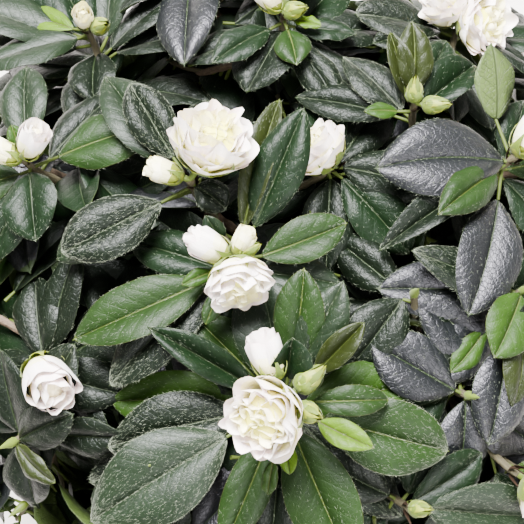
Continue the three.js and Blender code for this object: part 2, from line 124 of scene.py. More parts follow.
# The crown: shoots end on a flattened dome. Places are tried in a spiral over the dome, and then
# under it, and one too near an earlier shoot is passed over
DOME_RADIUS = 150
DOME_TOP = 95
DOME_SKIRT = 66
DOME_FULLNESS = 2.7
DOME_LEVEL = 200
DOME_LOWEST = -0.62
FILL_COUNT = 220
FILL_DEPTH = 4
DEPTH_SPREAD = 9
SHOOT_SPACING = 46
INNER_COUNT = 200
INNER_DEPTH = 32
INNER_SPACING = 41
INNER_LOWEST = -0.1
UPRIGHT_SHARE = 0.35

# Shoots with their tip under this height bear no open flower
LOWEST_BLOOM = 172

# The ball that a flower of each stage fills: how high above its foot, and its radius. Leaves that are
# grown by rule stay out of it by the spare
FLOWER_BALLS = {"bloom": (14, 16), "opening": (12, 9), "bud": (6, 4)}
LEAF_SPARE = 3

# How far a flower of each stage reaches, as the patch that no leaf covers, and how far a leaf may
# lie behind such a patch and still count as in front of it
FLOWER_REACHES = {"bloom": 15, "opening": 9, "bud": 6}
PATCH_DEPTH = 3

# Room for leaves: how high over the pot's underside their tips keep, and how far past the dome
LOWEST_LEAF = 112
WIDEST_LEAF = 18

# The leaf bud at the end of a twig that bears no flower, as radius and height from its foot up
TIP_BUD = ((1.2, -3), (1.8, -0.6), (1.8, 1.2), (1.1, 4), (0.1, 8))

# The masses: one on top, a ring round it and a lower ring
UPPER_COUNT = 6
LOWER_COUNT = 9
TOP_HEART = (-6, 8, 252)
UPPER_HEART = {"radius": 88, "height": 234, "start": -90}
LOWER_HEART = {"radius": 130, "height": 184, "start": -70}
BOUGH_REACH = 0.6

# How the boughs leave what bears them, and how steeply they arrive in their masses
UPPER_LEAVING_RISE = 0.7
SIDE_LEAVING_SHARE = 0.55
TOP_STEEPNESS = 9
UPPER_STEEPNESS = 1.45
SIDE_STEEPNESS = 0.25

# Where on a stem its first twig leaves, and how far up the others are spread
FIRST_TWIG = 0.2
TWIG_RANGE = 0.45

# Steps of the even spreads: an angle in degrees for turns, and shares for sizes and kinds
GOLDEN_ANGLE = 137.508
SPREAD_STEPS = (0.7548776662, 0.569840291)

# The camera looks down on the crown from the front, at the photograph's angle and scale
VIEW_ELEVATION = math.radians(72)
VIEW_TARGET = np.array([0.0, -22.0, 296.0])
VIEW_DISTANCE = 480.0
VIEW_WIDTH = 191.2
VIEW_BACK = np.array([0, -math.cos(VIEW_ELEVATION), math.sin(VIEW_ELEVATION)])
SENSOR_WIDTH = 36

# The pale floor and the light: each lamp's place and width in metres, its power and its colour
FLOOR_HALF_WIDTH = 6.0
ROOM_LIGHT = 1.2
LAMP_TARGET = (0, 0, 0.25)
LAMPS = {
    "high_window": ((-0.2, 0.5, 1.55), 0.8, 245, (1.0, 0.985, 0.97)),
    "front_fill": ((0.7, -1.2, 1.0), 1.2, 50, (1.0, 0.98, 0.95)),
}

# The shoots on the side that faces front and up: place in plan, how far under the dome, the turn of
# the leaves, and the flowers as stage, bearing, tilt, size and stalk
FACING_SHOOTS = [
    ((8, -72), 0, 12,
     [("bloom", 222, 36, 0.86, 4), ("opening", 112, 68, 0.88, 9), ("bud", 40, 60, 1.0, 8),
      ("bud", -30, 34, 0.95, 9)]),
    ((-11, -20), 0, 40,
     [("bloom", 284, 74, 0.7, 3), ("opening", 158, 64, 0.8, 2), ("opening", 52, 52, 0.58, 2),
      ("bud", 20, 60, 0.8, 3)]),
    ((-27, 12), 3, 75, [("bloom", 48, 28, 0.9, 10), ("opening", 166, 72, 0.64, 4)]),
    ((-94, 27), 6, 20, [("opening", 24, 44, 0.8, 3), ("opening", 165, 50, 0.66, 1)]),
    ((-74, 94), 8, 130, [("opening", -60, 34, 0.62, 3), ("bud", -42, 66, 0.9, 9)]),
    ((9, 92), 8, 200, [("opening", 150, 44, 0.9, 2), ("bud", -30, 50, 0.9, 2)]),
    ((60, 48), 6, 95, [("bud", 110, 30, 0.82, 2), ("bud", -20, 50, 0.86, 5)]),
    ((84, 98), 6, 160, [("bloom", 175, 50, 0.7, 3), ("bloom", -50, 44, 0.8, 3)]),
    ((99, 28), 4, 150, [("opening", 60, 42, 0.95, 2)]),
    ((28, 26), 20, 60, [("bloom", 150, 54, 0.68, 1)]),
    ((-88, -50), 26, 10, [("opening", -20, 52, 1.35, 2)]),
    ((80, -64), 18, 300, []),
    ((102, -24), 10, 250, []),
    ((56, -106), 14, 220, [("bud", 40, 30, 0.8, 2)]),
    ((98, -92), 5, 100, [("bloom", -40, 44, 0.66, 4)]),
    ((-98, -80), 12, 330, []),
    ((-46, -92), 14, 280, []),
]

# Leaves seen close to, by shoot and from the top down: bearing of the tip round the shoot, reach of
# the tip from it, blade length, blade width, lift of the blade, and its tone with how it lies. The
# shoots after the facing ones are the first that the spiral finds beside them
# The dark, deep and dusk tones are partly the leaves' own darker green and partly painted shade, given
# where leaves lie in shade among the others
FACING_LEAVES = {
    0: [
        (83, 20, 17, 14, 48, "deep folded"),
        (36, 17, 13, 7, 40, "green"),
        (-30, 35, 22, 9.6, 22, "lime"),
        (0, 38, 29, 10.5, 22, "green arched"),
        (43, 38, 26, 9.5, 34, "olive folded"),
        (64, 46, 35, 18, 28, "grey"),
        (78, 46, 35, 18, 30, "green"),
        (-86, 26, 12, 6.5, 10, "lime"),
        (-100, 36, 15, 5, 0, "fresh arched"),
        (-18, 65, 49, 27, 6, "green hairy"),
        (97, 49, 46, 28, 14, "grey"),
        (151, 54, 46, 12, 24, "deep folded"),
        (-68, 64, 54, 26, 4, "green"),
        (135, 46, 38, 20, 12, "green"),
        (210, 86, 62, 33, 2, "grey hairy"),
        (7, 53, 44, 24, 2, "fresh"),
        (191, 69, 52, 26, 3, "dark hairy"),
        (-43, 65, 55, 21, -2, "dark hairy"),
        (249, 58, 50, 17, 0, "green"),
        (175, 66, 50, 22, 0, "fresh"),
        (-93, 62, 50, 20, -6, "dark"),
        (204, 82, 52, 22, -8, "dark hairy"),
    ],
    1: [
        (120, 17, 12, 6.5, 40, "deep"),
        (207, 20, 13, 5.5, 20, "fresh"),
        (247, 25, 14, 6, 5, "green"),
        (17, 45, 34, 16.5, 8, "green"),
        (63, 60, 48, 19, 28, "deep"),
        (76, 63, 52, 11, 24, "olive folded"),
        (206, 66, 55, 22, 2, "green"),
        (-6, 41, 33, 16, 2, "grey"),
        (217, 64, 58, 22, -4, "dark hairy"),
        (-60, 40, 34, 17, -4, "deep"),
        (160, 44, 38, 18, 0, "deep"),
    ],
    2: [
        (-35, 17, 15, 12, 12, "dark hairy arched"),
        (122, 46, 34, 17.5, 16, "dark hairy"),
        (209, 55, 42, 23, 4, "dark hairy"),
        (127, 63, 50, 23, 6, "grey"),
        (203, 60, 46, 18, -2, "grey"),
        (60, 36, 30, 18, 0, "dark"),
        (84, 44, 38, 19, -4, "dark"),
    ],
    3: [
        (110, 15, 9, 6, 40, "fresh"),
        (95, 45, 37, 20, 12, "grey"),
        (-79, 32, 29, 22, 6, "deep"),
        (16, 50, 38, 24, 2, "green"),
        (190, 40, 34, 20, 2, "green"),
        (-120, 42, 38, 20, -4, "deep"),
        (50, 46, 38, 20, -4, "dark"),
    ],
    4: [
        (148, 38, 30, 12, 14, "lime"),
        (192, 46, 42, 30, 16, "grey"),
        (160, 56, 50, 28, 34, "grey"),
        (138, 56, 50, 26, 32, "deep"),
        (176, 50, 46, 26, 26, "dark"),
        (112, 42, 38, 20, 34, "deep"),
        (-96, 30, 27, 20, 0, "dark"),
        (76, 44, 40, 24, 32, "grey"),
        (34, 40, 36, 20, 14, "dark"),
        (12, 47, 41, 22, -4, "dark"),
        (-112, 36, 34, 22, -2, "dark"),
        (130, 64, 54, 28, -4, "dark"),
        (108, 66, 56, 28, -6, "dark"),
        (150, 62, 48, 26, 4, "deep"),
        (164, 78, 54, 28, 2, "grey"),
        (140, 76, 54, 26, 2, "dark"),
        (100, 30, 26, 14, 14, "deep"),
        (178, 66, 50, 24, 0, "dark"),
        (214, 38, 34, 20, -2, "dark"),
        (-60, 40, 36, 20, -4, "dark"),
        (-20, 44, 38, 20, -2, "dark"),
    ],
    5: [
        (-28, 16, 12, 5.5, 24, "lime"),
        (-76, 25, 19, 14.5, 8, "green"),
        (216, 36, 29, 15, 6, "deep"),
        (-10, 30, 25, 14, 6, "deep"),
        (-112, 34, 32, 25, 0, "dark"),
        (-56, 44, 38, 15, -2, "dark hairy"),
        (-41, 57, 52, 18, -6, "dark"),
        (190, 44, 38, 18, -4, "dark"),
        (16, 46, 40, 24, 4, "dark"),
        (52, 46, 40, 22, 10, "deep"),
    ],
    6: [
        (90, 29, 28, 14, 36, "olive"),
        (112, 26, 25, 9, 40, "olive folded"),
        (187, 19, 13.5, 7.5, 14, "fresh"),
        (40, 36, 31, 17, 10, "deep folded"),
        (62, 38, 32, 18, 12, "deep"),
        (130, 38, 34, 20, 2, "dark hairy"),
        (165, 46, 40, 17, -4, "dark"),
        (-60, 38, 34, 18, -6, "deep"),
    ],
    7: [
        (-30, 42, 38, 22, 18, "dark"),
        (8, 50, 44, 24, 28, "deep"),
        (186, 44, 38, 26, -2, "dark hairy"),
        (46, 46, 40, 22, 26, "dark"),
        (205, 40, 36, 20, 2, "dark"),
        (240, 42, 38, 22, 2, "deep"),
        (272, 44, 40, 20, 0, "dark"),
        (-62, 44, 40, 22, 4, "dark"),
        (150, 44, 38, 20, 10, "deep"),
        (-8, 64, 52, 26, 24, "dark"),
    ],
    8: [
        (106, 42, 30, 18, 38, "turned"),
        (185, 56, 54, 31, 8, "dusk"),
        (219, 43, 39, 16, 22, "green"),
        (216, 64, 58, 13, -4, "dark folded"),
        (258, 65, 50, 27, 2, "dusk"),
        (70, 34, 30, 16, 16, "deep"),
        (20, 40, 36, 20, 0, "green"),
        (-40, 44, 40, 20, 0, "deep"),
    ],
    9: [
        (-8, 40, 36, 20, 2, "dark"),
        (-48, 46, 40, 21, 0, "deep"),
        (-96, 42, 38, 20, -2, "dark"),
        (100, 40, 36, 20, 0, "deep"),
        (58, 46, 40, 22, -2, "dark"),
        (150, 44, 38, 20, -4, "dark"),
        (200, 44, 38, 20, -4, "deep"),
        (18, 62, 50, 24, -6, "dark"),
    ],
    10: [
        (-22, 36, 32, 21, -6, "dark"),
        (104, 38, 34, 22, -4, "dark"),
        (78, 50, 44, 20, 2, "dark"),
        (196, 40, 36, 22, 2, "dark"),
        (-62, 44, 38, 24, -2, "dark"),
        (30, 46, 40, 24, -4, "dark"),
        (150, 50, 44, 24, -4, "deep"),
        (-100, 40, 36, 22, -6, "dark"),
    ],
    11: [
        (-34, 42, 38, 24, 2, "dusk"),
        (-92, 34, 32, 22, 2, "dusk"),
        (152, 42, 38, 24, 0, "dusk"),
        (98, 44, 38, 22, 0, "dark"),
        (56, 42, 38, 22, -2, "dusk"),
        (196, 40, 36, 22, -4, "deep"),
        (4, 46, 40, 24, -4, "dark"),
        (236, 44, 38, 22, -6, "dark"),
    ],
    12: [
        (238, 30, 30, 20, 16, "fresh"),
        (270, 45, 35, 18, 8, "olive"),
        (167, 47, 42, 17, 6, "dark hairy"),
        (259, 60, 40, 23, 0, "dusk"),
        (170, 31, 27, 13, 2, "green"),
        (178, 54, 50, 23, -4, "dusk"),
        (233, 40, 22, 10, 0, "fresh"),
        (229, 50, 38, 21, -4, "dusk"),
        (190, 48, 42, 17, -4, "olive"),
        (30, 40, 36, 20, 0, "deep"),
    ],
    13: [
        (-12, 58, 50, 27, 8, "grey hairy"),
        (22, 36, 33, 20, 2, "deep"),
        (66, 34, 30, 18, 0, "deep"),
        (150, 40, 34, 17, -2, "dark"),
        (220, 42, 36, 18, -2, "deep"),
    ],
    15: [
        (-36, 15, 22, 10, 12, "olive"),
        (33, 33, 32, 17, 8, "dark"),
        (98, 36, 34, 26, 10, "dark"),
        (-84, 30, 28, 22, 2, "dark"),
        (150, 40, 36, 22, 0, "deep"),
        (62, 44, 38, 22, -2, "dark"),
        (8, 44, 34, 16, -6, "dark"),
    ],
    16: [
        (236, 40, 36, 22, -6, "deep"),
        (280, 44, 38, 22, -6, "dark"),
    ],
    17: [
        (-126, 34, 31, 23, -6, "dark"),
        (-28, 40, 36, 24, -8, "dusk"),
        (140, 36, 34, 18, -8, "dark"),
    ],
    22: [
        (-93, 61, 55, 27, -16, "dusk"),
        (-50, 40, 36, 20, 6, "dark"),
        (-140, 42, 36, 20, 4, "dark"),
    ],
}


def srgb(red, green, blue):
    """A colour read off at 0 to 255 a channel, in linear light."""
    share = [value / 255 for value in (red, green, blue)]
    return tuple(v / 12.92 if v <= 0.04045 else ((v + 0.055) / 1.055) ** 2.4 for v in share)


def unit(vector):
    return vector / np.linalg.norm(vector)


def mix(start, end, share):
    return start + (end - start) * share


def spread(index, series):
    """An even spread of fractions between 0 and 1, the same in every run."""
    return (0.5 + index * SPREAD_STEPS[0] + series * SPREAD_STEPS[1]) % 1


class Bend:
    """A cubic curve with four corners, and a table to step along it by its own length."""

    def __init__(self, *corners):
        self.corners = np.array(corners)
        self.steps = np.linspace(0, 1, 201)
        places = self.at(self.steps)
        reach = np.linalg.norm(np.diff(places, axis=0), axis=1)
        self.reach = np.concatenate([[0], np.cumsum(reach)])
        self.length = self.reach[-1]

    def at(self, t):
        t = np.asarray(t, float)[..., None]
        a, b, c, d = self.corners
        return a * (1 - t) ** 3 + 3 * b * t * (1 - t) ** 2 + 3 * c * t * t * (1 - t) + d * t**3

    def point(self, along):
        return self.at(np.interp(np.asarray(along) * self.length, self.reach, self.steps))

    def way(self, along):
        t = np.interp(np.asarray(along) * self.length, self.reach, self.steps)
        slope = self.at(np.clip(t + 1e-4, 0, 1)) - self.at(np.clip(t - 1e-4, 0, 1))
        return slope / np.linalg.norm(slope, axis=-1, keepdims=True)


def bend(start, start_way, end, end_way, ease):
    """A curve that leaves one point in a direction and arrives at another in a direction."""
    length = np.linalg.norm(end - start) * ease
    return Bend(start, start + start_way * length, end - end_way * length, end)


def dome_point(way, under):
    """The shoots' dome, as the point that lies in a direction from its middle."""
    flat = math.hypot(way[0], way[1]) / (DOME_RADIUS - under)
    rise = abs(way[2]) / ((DOME_TOP if way[2] > 0 else DOME_SKIRT) - under)
    size = (flat**DOME_FULLNESS + rise**DOME_FULLNESS) ** (-1 / DOME_FULLNESS)
    return way * size + UP * DOME_LEVEL


def dome_over(x, y, under):
    """The dome's point over a place in plan."""
    share = math.hypot(x, y) / (DOME_RADIUS - under)
    rise = (1 - share**DOME_FULLNESS) ** (1 / DOME_FULLNESS)
    return np.array([x, y, DOME_LEVEL + (DOME_TOP - under) * rise])


def shoot_axis(tip):
    """A shoot grows out of the dome, and a little more upright than it."""
    flat = math.hypot(tip[0], tip[1])
    rise = tip[2] - DOME_LEVEL
    height = DOME_TOP if rise > 0 else DOME_SKIRT
    outward = math.copysign((abs(rise) / height) ** (DOME_FULLNESS - 1) / height, rise)
    sideways = (flat / DOME_RADIUS) ** (DOME_FULLNESS - 1) / DOME_RADIUS / max(flat, 1)
    normal = unit(np.array([tip[0] * sideways, tip[1] * sideways, outward]))
    return unit(normal + UP * UPRIGHT_SHARE)


# Facing shoots whose flower lies deep among leaves, and the share of its reach that stays uncovered
DEEP_SHOOTS = (9, 10, 14)
DEEP_SHARE = 0.6

# Facing shoots from this one on have no bright young leaves; their darker leaves are in part painted shade
FIRST_SHADED_SHOOT = 9

# Facing shoots whose listed leaves are joined to the piece of facing leaves
FRONT_SHOOTS = (0, 1, 2, 3, 4, 5, 6, 8, 12, 13)

# How far down its twig the leaves of a shoot start that lies under its neighbours' leaves
SUNK = {16: 12, 17: 14}

# How far under its tip a shoot's twig ends when it bears neither leaf nor flower above that
HIGHEST_LEAF = 12.0

# Kinds of shoot that aren't listed, by the share that each goes up to. The others bear a bud
BLOOMS_UP_TO = 0.36
OPENING_UP_TO = 0.62


def drawn_flowers(index):
    """Stages and places of the flowers on a shoot that isn't listed."""
    first = spread(index, 1)
    bearing = spread(index, 2) * 360
    if first < BLOOMS_UP_TO:
        tilt = 15 + 30 * spread(index, 3)
        return [("bloom", bearing, tilt, 0.88, 3), ("bud", bearing + 150, 55, 0.9, 2)]
    if first < OPENING_UP_TO:
        return [("opening", bearing, 25, 0.9, 2), ("bud", bearing + 170, 50, 0.9, 2)]
    return [("bud", bearing, 12, 0.95, 1)]


def flower_foot(shoot, bearing, tilt, stalk):
    """Where a flower's stalk, which leaves the shoot lower than the flower points, ends."""
    return shoot.tip + shoot.raised(bearing, max(90 - tilt - 25, 5)) * stalk


class Shoot:
    """The leafy end of a twig: its tip, its axis, the turn of its leaves and its flowers."""

    def __init__(self, number, tip, spin, flowers, inner=False):
        self.number = number
        self.tip = tip
        self.axis = shoot_axis(tip)
        self.spin = spin
        self.flowers = flowers
        self.inner = inner
        self.twig = None
        self.top = HIGHEST_LEAF

    def on_twig(self, depth):
        """The point of the shoot's twig that lies a depth below its tip."""
        self.top = min(self.top, depth)
        return self.twig.point(max(1 - depth / self.twig.length, 0))

    def raised(self, bearing, lift):
        """A direction at a bearing round the axis, raised towards it by an angle, in degrees."""
        guide = np.array([0.0, 1.0, 0.0]) if abs(self.axis[0]) > 0.95 else np.array([1.0, 0.0, 0.0])
        east = unit(guide - self.axis * guide.dot(self.axis))
        north = np.cross(self.axis, east)
        turn = math.radians(bearing)
        rise = math.radians(lift)
        out = east * math.cos(turn) + north * math.sin(turn)
        return out * math.cos(rise) + self.axis * math.sin(rise)


def make_shoots():
    shoots = []
    for (x, y), under, spin, flowers in FACING_SHOOTS:
        shoots.append(Shoot(len(shoots), dome_over(x, y, under), spin, flowers))

    def fill(count, lowest, depth, spacing, inner):
        """Adds shoots in a spiral from the top down to the lowest height, as a share of the dome's."""
        for i in range(count):
            height = mix(1, lowest, (i + 0.5) / count)
            turn = math.radians(i * GOLDEN_ANGLE)
            flat = math.sqrt(1 - height * height)
            way = np.array([math.cos(turn) * flat, math.sin(turn) * flat, height])
            tip = dome_point(way, depth + DEPTH_SPREAD * spread(i, 0))
            if all(np.linalg.norm(shoot.tip - tip) > spacing for shoot in shoots):
                flowers = [] if inner else drawn_flowers(i)
                shoots.append(Shoot(len(shoots), tip, 360 * spread(i, 4), flowers, inner))

    fill(FILL_COUNT, DOME_LOWEST, FILL_DEPTH, SHOOT_SPACING, False)
    fill(INNER_COUNT, INNER_LOWEST, INNER_DEPTH, INNER_SPACING, True)
    return shoots


class Bough:
    """One limb from the trunk or an upper bough to the heart of the mass that it bears."""

    def __init__(self, name, heart, turn=0.0):
        self.name = name
        self.heart = np.array(heart, float)
        self.turn = turn
        self.borne = 0
        self.line = None
        self.radii = None


def make_trunk_line():
    """The trunk's middle line: upright at the ground, and leaning towards its fork."""
    steps = ((0, 0), (0, 0.4), (0.5, 0.7), (1, 1))
    return Bend(*[(TRUNK_LEAN[0] * lean, TRUNK_LEAN[1] * lean, GROUND + TRUNK_LENGTH * rise)
                  for lean, rise in steps])


def make_boughs(trunk):
    """The line and end radii of every bough: one on from the trunk's top, the upper ones from its
    sides, each a little higher than the last, and the lower ones from the upper ones."""
    boughs = [Bough("top", TOP_HEART)]
    rings = (("upper", UPPER_HEART, UPPER_COUNT), ("lower", LOWER_HEART, LOWER_COUNT))
    for name, ring, count in rings:
        for i in range(count):
            turn = math.radians(ring["start"] + 360 / count * i)
            flat = ring["radius"]
            heart = (math.cos(turn) * flat, math.sin(turn) * flat, ring["height"])
            boughs.append(Bough(f"{name}_{i + 1}", heart, turn))
    fork = trunk.point(1.0)
    for number, bough in enumerate(boughs):
        outward = unit((bough.heart - fork) * np.array([1, 1, 0]))
        if bough.name == "top":
            leave = trunk.way(1.0)
            start = fork + leave * CLEARANCE
            steepness, radius = TOP_STEEPNESS, TOP_BOUGH_RADIUS
        elif bough.name.startswith("upper"):
            start = trunk.point(UPPER_START + UPPER_STEP * number)
            leave = outward + UP * UPPER_LEAVING_RISE
            steepness, radius = UPPER_STEEPNESS, BOUGH_RADIUS
        else:
            uppers = [other for other in boughs if other.name.startswith("upper")]
            bearer = min(uppers, key=lambda other: abs(math.sin((other.turn - bough.turn) / 2)))
            bearer.borne += 1
            place = SIDE_START + SIDE_STEP * bearer.borne
            start = bearer.line.point(place)
            leave = mix(bearer.line.way(place), outward, SIDE_LEAVING_SHARE)
            steepness, radius = SIDE_STEEPNESS, SIDE_BOUGH_RADIUS
        end = mix(fork, bough.heart, BOUGH_REACH)
        bough.line = bend(start, unit(leave), end, unit(outward + UP * steepness), 0.35)
        bough.radii = (radius, STEM_RADIUS)
    return boughs


def grow_twigs(boughs, shoots):
    """A stem from each bough's tip to the middle shoot of its mass, and a twig from the stem to each
    other shoot, as (line, radius at the start, radius at the end, shoot)."""
    twigs = []
    for bough in boughs:
        way = bough.line.way(1.0)
        foot = bough.line.point(1.0)
        own = [s for s in shoots if min(boughs, key=lambda b: np.linalg.norm(b.heart - s.tip)) is bough]
        own.sort(key=lambda s: np.linalg.norm(s.tip - foot - way * np.linalg.norm(s.tip - foot)))
        stem = bend(foot, way, own[0].tip, own[0].axis, 0.35)
        own[0].twig = stem
        twigs.append((stem, STEM_RADIUS, TWIG_RADIUS, own[0]))
        others = own[1:]
        for k, shoot in enumerate(others):
            place = FIRST_TWIG + TWIG_RANGE * k / max(len(others) - 1, 1)
            start = stem.point(place)
            leave = unit(mix(stem.way(place), unit(shoot.tip - start), 0.6))
            shoot.twig = bend(start, leave, shoot.tip, shoot.axis, 0.3)
            twigs.append((shoot.twig, TWIG_RADIUS * 1.25, TWIG_RADIUS * 0.9, shoot))
    return twigs


def link_object(name, data):
    made = bpy.data.objects.new(name, data)
    bpy.context.scene.collection.objects.link(made)
    return made


class Gatherer:
    """Collects grids of many small shapes, and makes them one mesh with a material for each face."""

    def __init__(self, materials):
        self.materials = materials
        self.places, self.faces, self.slots, self.flat = [], [], [], []
        self.count = 0

    def add(self, places, faces, slots, flat=None):
        """Places as rows of x, y, z in millimetres; faces as rows of four, the last -1 in a triangle;
        slots as one material number a face; flat as each place's own coordinates on its surface."""
        self.places.append(places)
        self.faces.append(np.where(faces < 0, -1, faces + self.count))
        self.slots.append(np.broadcast_to(slots, len(faces)))
        self.flat.append(np.zeros((len(places), 2)) if flat is None else flat)
        self.count += len(places)

    def make(self, name):
        places = np.concatenate(self.places) * MM
        faces = np.concatenate(self.faces)
        flat = np.concatenate(self.flat)
        corners = faces[faces >= 0]
        totals = 3 + (faces[:, 3] >= 0)
        mesh = bpy.data.meshes.new(name)
        mesh.vertices.add(len(places))
        mesh.vertices.foreach_set("co", places.ravel())
        mesh.loops.add(len(corners))
        mesh.loops.foreach_set("vertex_index", corners.astype(np.int32))
        mesh.polygons.add(len(faces))
        starts = np.concatenate([[0], np.cumsum(totals)[:-1]])
        mesh.polygons.foreach_set("loop_start", starts.astype(np.int32))
        mesh.polygons.foreach_set("loop_total", totals.astype(np.int32))
        mesh.polygons.foreach_set("material_index", np.concatenate(self.slots).astype(np.int32))
        mesh.polygons.foreach_set("use_smooth", np.ones(len(faces), bool))
        layer = mesh.uv_layers.new(name="surface")
        layer.data.foreach_set("uv", flat[corners].ravel())
        mesh.update(calc_edges=True)
        for material in self.materials:
            mesh.materials.append(material)
        return link_object(name, mesh)


def grid_faces(rows, columns, closed=False):
    """Faces of a grid of rows and columns of corners, wound round if it is closed."""
    wide = columns if closed else columns - 1
    i, j = np.meshgrid(np.arange(rows - 1), np.arange(wide), indexing="ij")
    i, j = i.ravel(), j.ravel()
    k = (j + 1) % columns
    corners = [i * columns + j, i * columns + k, (i + 1) * columns + k, (i + 1) * columns + j]
    return np.stack(corners, axis=1)


def frames_along(line, alongs):
    """Points, directions and two square directions at places along a line, with no sudden turn."""
    points, ways = line.point(alongs), line.way(alongs)
    side = np.cross(ways[0], [0.31, 0.95, 0.07])
    sides = []
    for way in ways:
        side = unit(side - way * side.dot(way))
        sides.append(side)
    sides = np.array(sides)
    return points, ways, sides, np.cross(ways, sides)


def tube(gather, line, radius_at, sides, steps, slot, ends=(0.0, 1.0)):
    """A round limb along a line, its radius given by place along it and turn round it."""
    alongs = np.linspace(ends[0], ends[1], steps + 1)
    points, ways, across, over = frames_along(line, alongs)
    turns = np.arange(sides) / sides * 2 * math.pi
    radius = radius_at(alongs[:, None], turns[None, :]) * np.ones((steps + 1, sides))
    ring = across[:, None] * np.cos(turns)[None, :, None] + over[:, None] * np.sin(turns)[None, :, None]
    places = points[:, None] + ring * radius[..., None]
    flat = np.stack(np.broadcast_arrays(turns[None, :] * 4, alongs[:, None] * line.length), axis=-1)
    tip = points[-1] + ways[-1] * radius[-1].mean() * 0.7
    places = np.concatenate([places.reshape(-1, 3), [tip]])
    flat = np.concatenate([flat.reshape(-1, 2), [[0, line.length]]])
    last = steps * sides + np.arange(sides)
    cap = np.stack([last, np.roll(last, -1), np.full(sides, len(places) - 1), np.full(sides, -1)], axis=1)
    gather.add(places, np.concatenate([grid_faces(steps + 1, sides, True), cap]), slot, flat)


class LeafForm:
    """The grid of a leaf: rows from base to tip, and columns from margin to midrib to margin."""

    def __init__(self, rows, blade_columns):
        reach = np.linspace(0, 1, rows)
        self.rows = np.concatenate([0.5 * reach + 0.25 * (1 - np.cos(math.pi * reach)), [1.02]])
        inner = np.linspace(0, 1, blade_columns + 1)
        self.shares = np.concatenate([inner, [1.0]])
        half = len(self.shares)
        self.columns = 2 * half + 1
        self.top_faces = grid_faces(len(self.rows), self.columns)
        place = np.tile(np.arange(self.columns - 1), len(self.rows) - 1)
        row = np.repeat(np.arange(len(self.rows) - 1), self.columns - 1)
        rib = (place == half - 1) | (place == half) | (row >= len(self.rows) - 3)
        margin = (place == 0) | (place == self.columns - 2)
        self.top_kind = np.where(rib, 1, np.where(margin, 2, 0))
        self.below = [half // 2, half, self.columns - 1 - half // 2]
        count = len(self.rows) * self.columns
        table = np.zeros((len(self.rows), 5), int)
        for i in range(len(self.rows)):
            inside = 0 < i < len(self.rows) - 1
            base = count + (i - 1) * 3
            middle = [base, base + 1, base + 2] if inside else [i * self.columns + c for c in self.below]
            table[i] = [i * self.columns, *middle, (i + 1) * self.columns - 1]
        under = np.stack([table[:-1, :-1], table[1:, :-1], table[1:, 1:], table[:-1, 1:]], axis=-1)
        self.under_faces = under.reshape(-1, 4)


FINE_LEAF = LeafForm(30, 5)
PLAIN_LEAF = LeafForm(12, 2)
INNER_LEAF = LeafForm(9, 1)

# A blade's own measures: side veins, the midrib from base to tip, the thin margin, the pillows
# between the veins, the groove of the midrib, and how thick it is beside and under the midrib
VEIN_SPACING = 6.0
VEIN_SLANT = 1.05
RIB_WIDTHS = (0.42, 0.1)
MARGIN_WIDTH = 0.2
PILLOW_HEIGHT = 0.42
RIB_GROOVE = 0.35
BLADE_THICKNESS = (0.35, 0.85, 0.35)
BASE_FULLNESS = 0.88

# Leaves of one shoot are numbered on from a multiple of this, and each has its own stretch of surface
LEAVES_A_SHOOT = 40
SURFACE_STRETCH = VEIN_SPACING * 7
SURFACE_COUNT = 1500

# A leaf hair, and the share of the hairs that fringe the margin
HAIR_HALF_WIDTH = 0.019
HAIR_LENGTHS = (0.6, 1.5)
HAIRS_A_SQUARE = 3.4
FRINGE_SHARE = 0.16

# Listed leaves: how deep under the tip the first one is borne, and how much deeper each next one;
# how far a folded and an arched one is bent; how thick the hairs stand on a hairy one and on others
FIRST_LEAF_DEPTH = 3
LEAF_DEPTH_STEP = 1.7
FOLDED = 0.85
ARCHED = 1.15
HAIRY = 0.75
THINLY_HAIRY = 0.2

LEAF_TONES = ("dark", "deep", "green", "fresh", "lime", "olive", "grey", "dusk")
LEAF_SLOTS = LEAF_TONES + ("rib", "margin", "under", "shaft", "rib_dark", "margin_dark")
SLOT = {name: number for number, name in enumerate(LEAF_SLOTS)}
# The dark tones take a darker midrib and margin, a shaded copy of them: partly their own colour, partly
# painted shade
DARK_TONES = ("dark", "deep", "grey", "dusk")

# Whorls of leaves that grow by rule: the first of the golden angle's turns and the one after the last,
# then, from the lowest leaf to the highest, the depth under the tip, the lift and the length
Whorl = namedtuple("Whorl", "first last depths lifts lengths")
UNDER_WHORL = Whorl(24, 30, (46, 34), (-14, -4), (58, 52))
DROOPING_WHORL = Whorl(12, 17, (44, 28), (-16, -4), (56, 54))
RISING_WHORL = Whorl(17, 21, (34, 20), (14, 30), (58, 54))
SIDE_WHORL = Whorl(0, 5, (9, 2), (0, 24), (46, 36))
ROSETTE = Whorl(0, 11, (24, 3), (0, 54), (60, 30))
INNER_ROSETTE_COUNT = 6
BLOOMING_LIFTS = (0, 14)

# The shortest leaf that grows by rule, and what such leaves are numbered on from in their shoot
LEAST_LEAF = 16
RULE_LEAF_NUMBER = 22

# Side shoots: where they leave their twig, how long they are, and their radii
SIDE_SHOOT_PLACES = (0.5, 0.66, 0.8)
SIDE_SHOOT_LENGTHS = (15, 24)
SIDE_SHOOT_RADII = (1.15, 0.8)

# How much of a twig, and of a side shoot, has brown bark before it turns green
OLD_BARK_SHARE = 0.62
YOUNG_BARK_SHARE = 0.1

# Tones of the leaves that grow by rule, each with the random share that it goes up to
YOUNG_TONES = ((0.05, "lime"), (0.35, "fresh"), (1, "green"))
MIDDLE_TONES = ((0.1, "fresh"), (0.5, "green"), (0.85, "deep"), (1, "olive"))
# The shaded tones darken lower leaves of the facing shoots and of every third shoot: partly the older
# leaves' own darker green, partly painted shade
SHADED_TONES = ((0.3, "dusk"), (0.75, "dark"), (1, "deep"))
OLD_TONES = ((0.35, "dark"), (0.7, "deep"), (0.88, "grey"), (1, "green"))


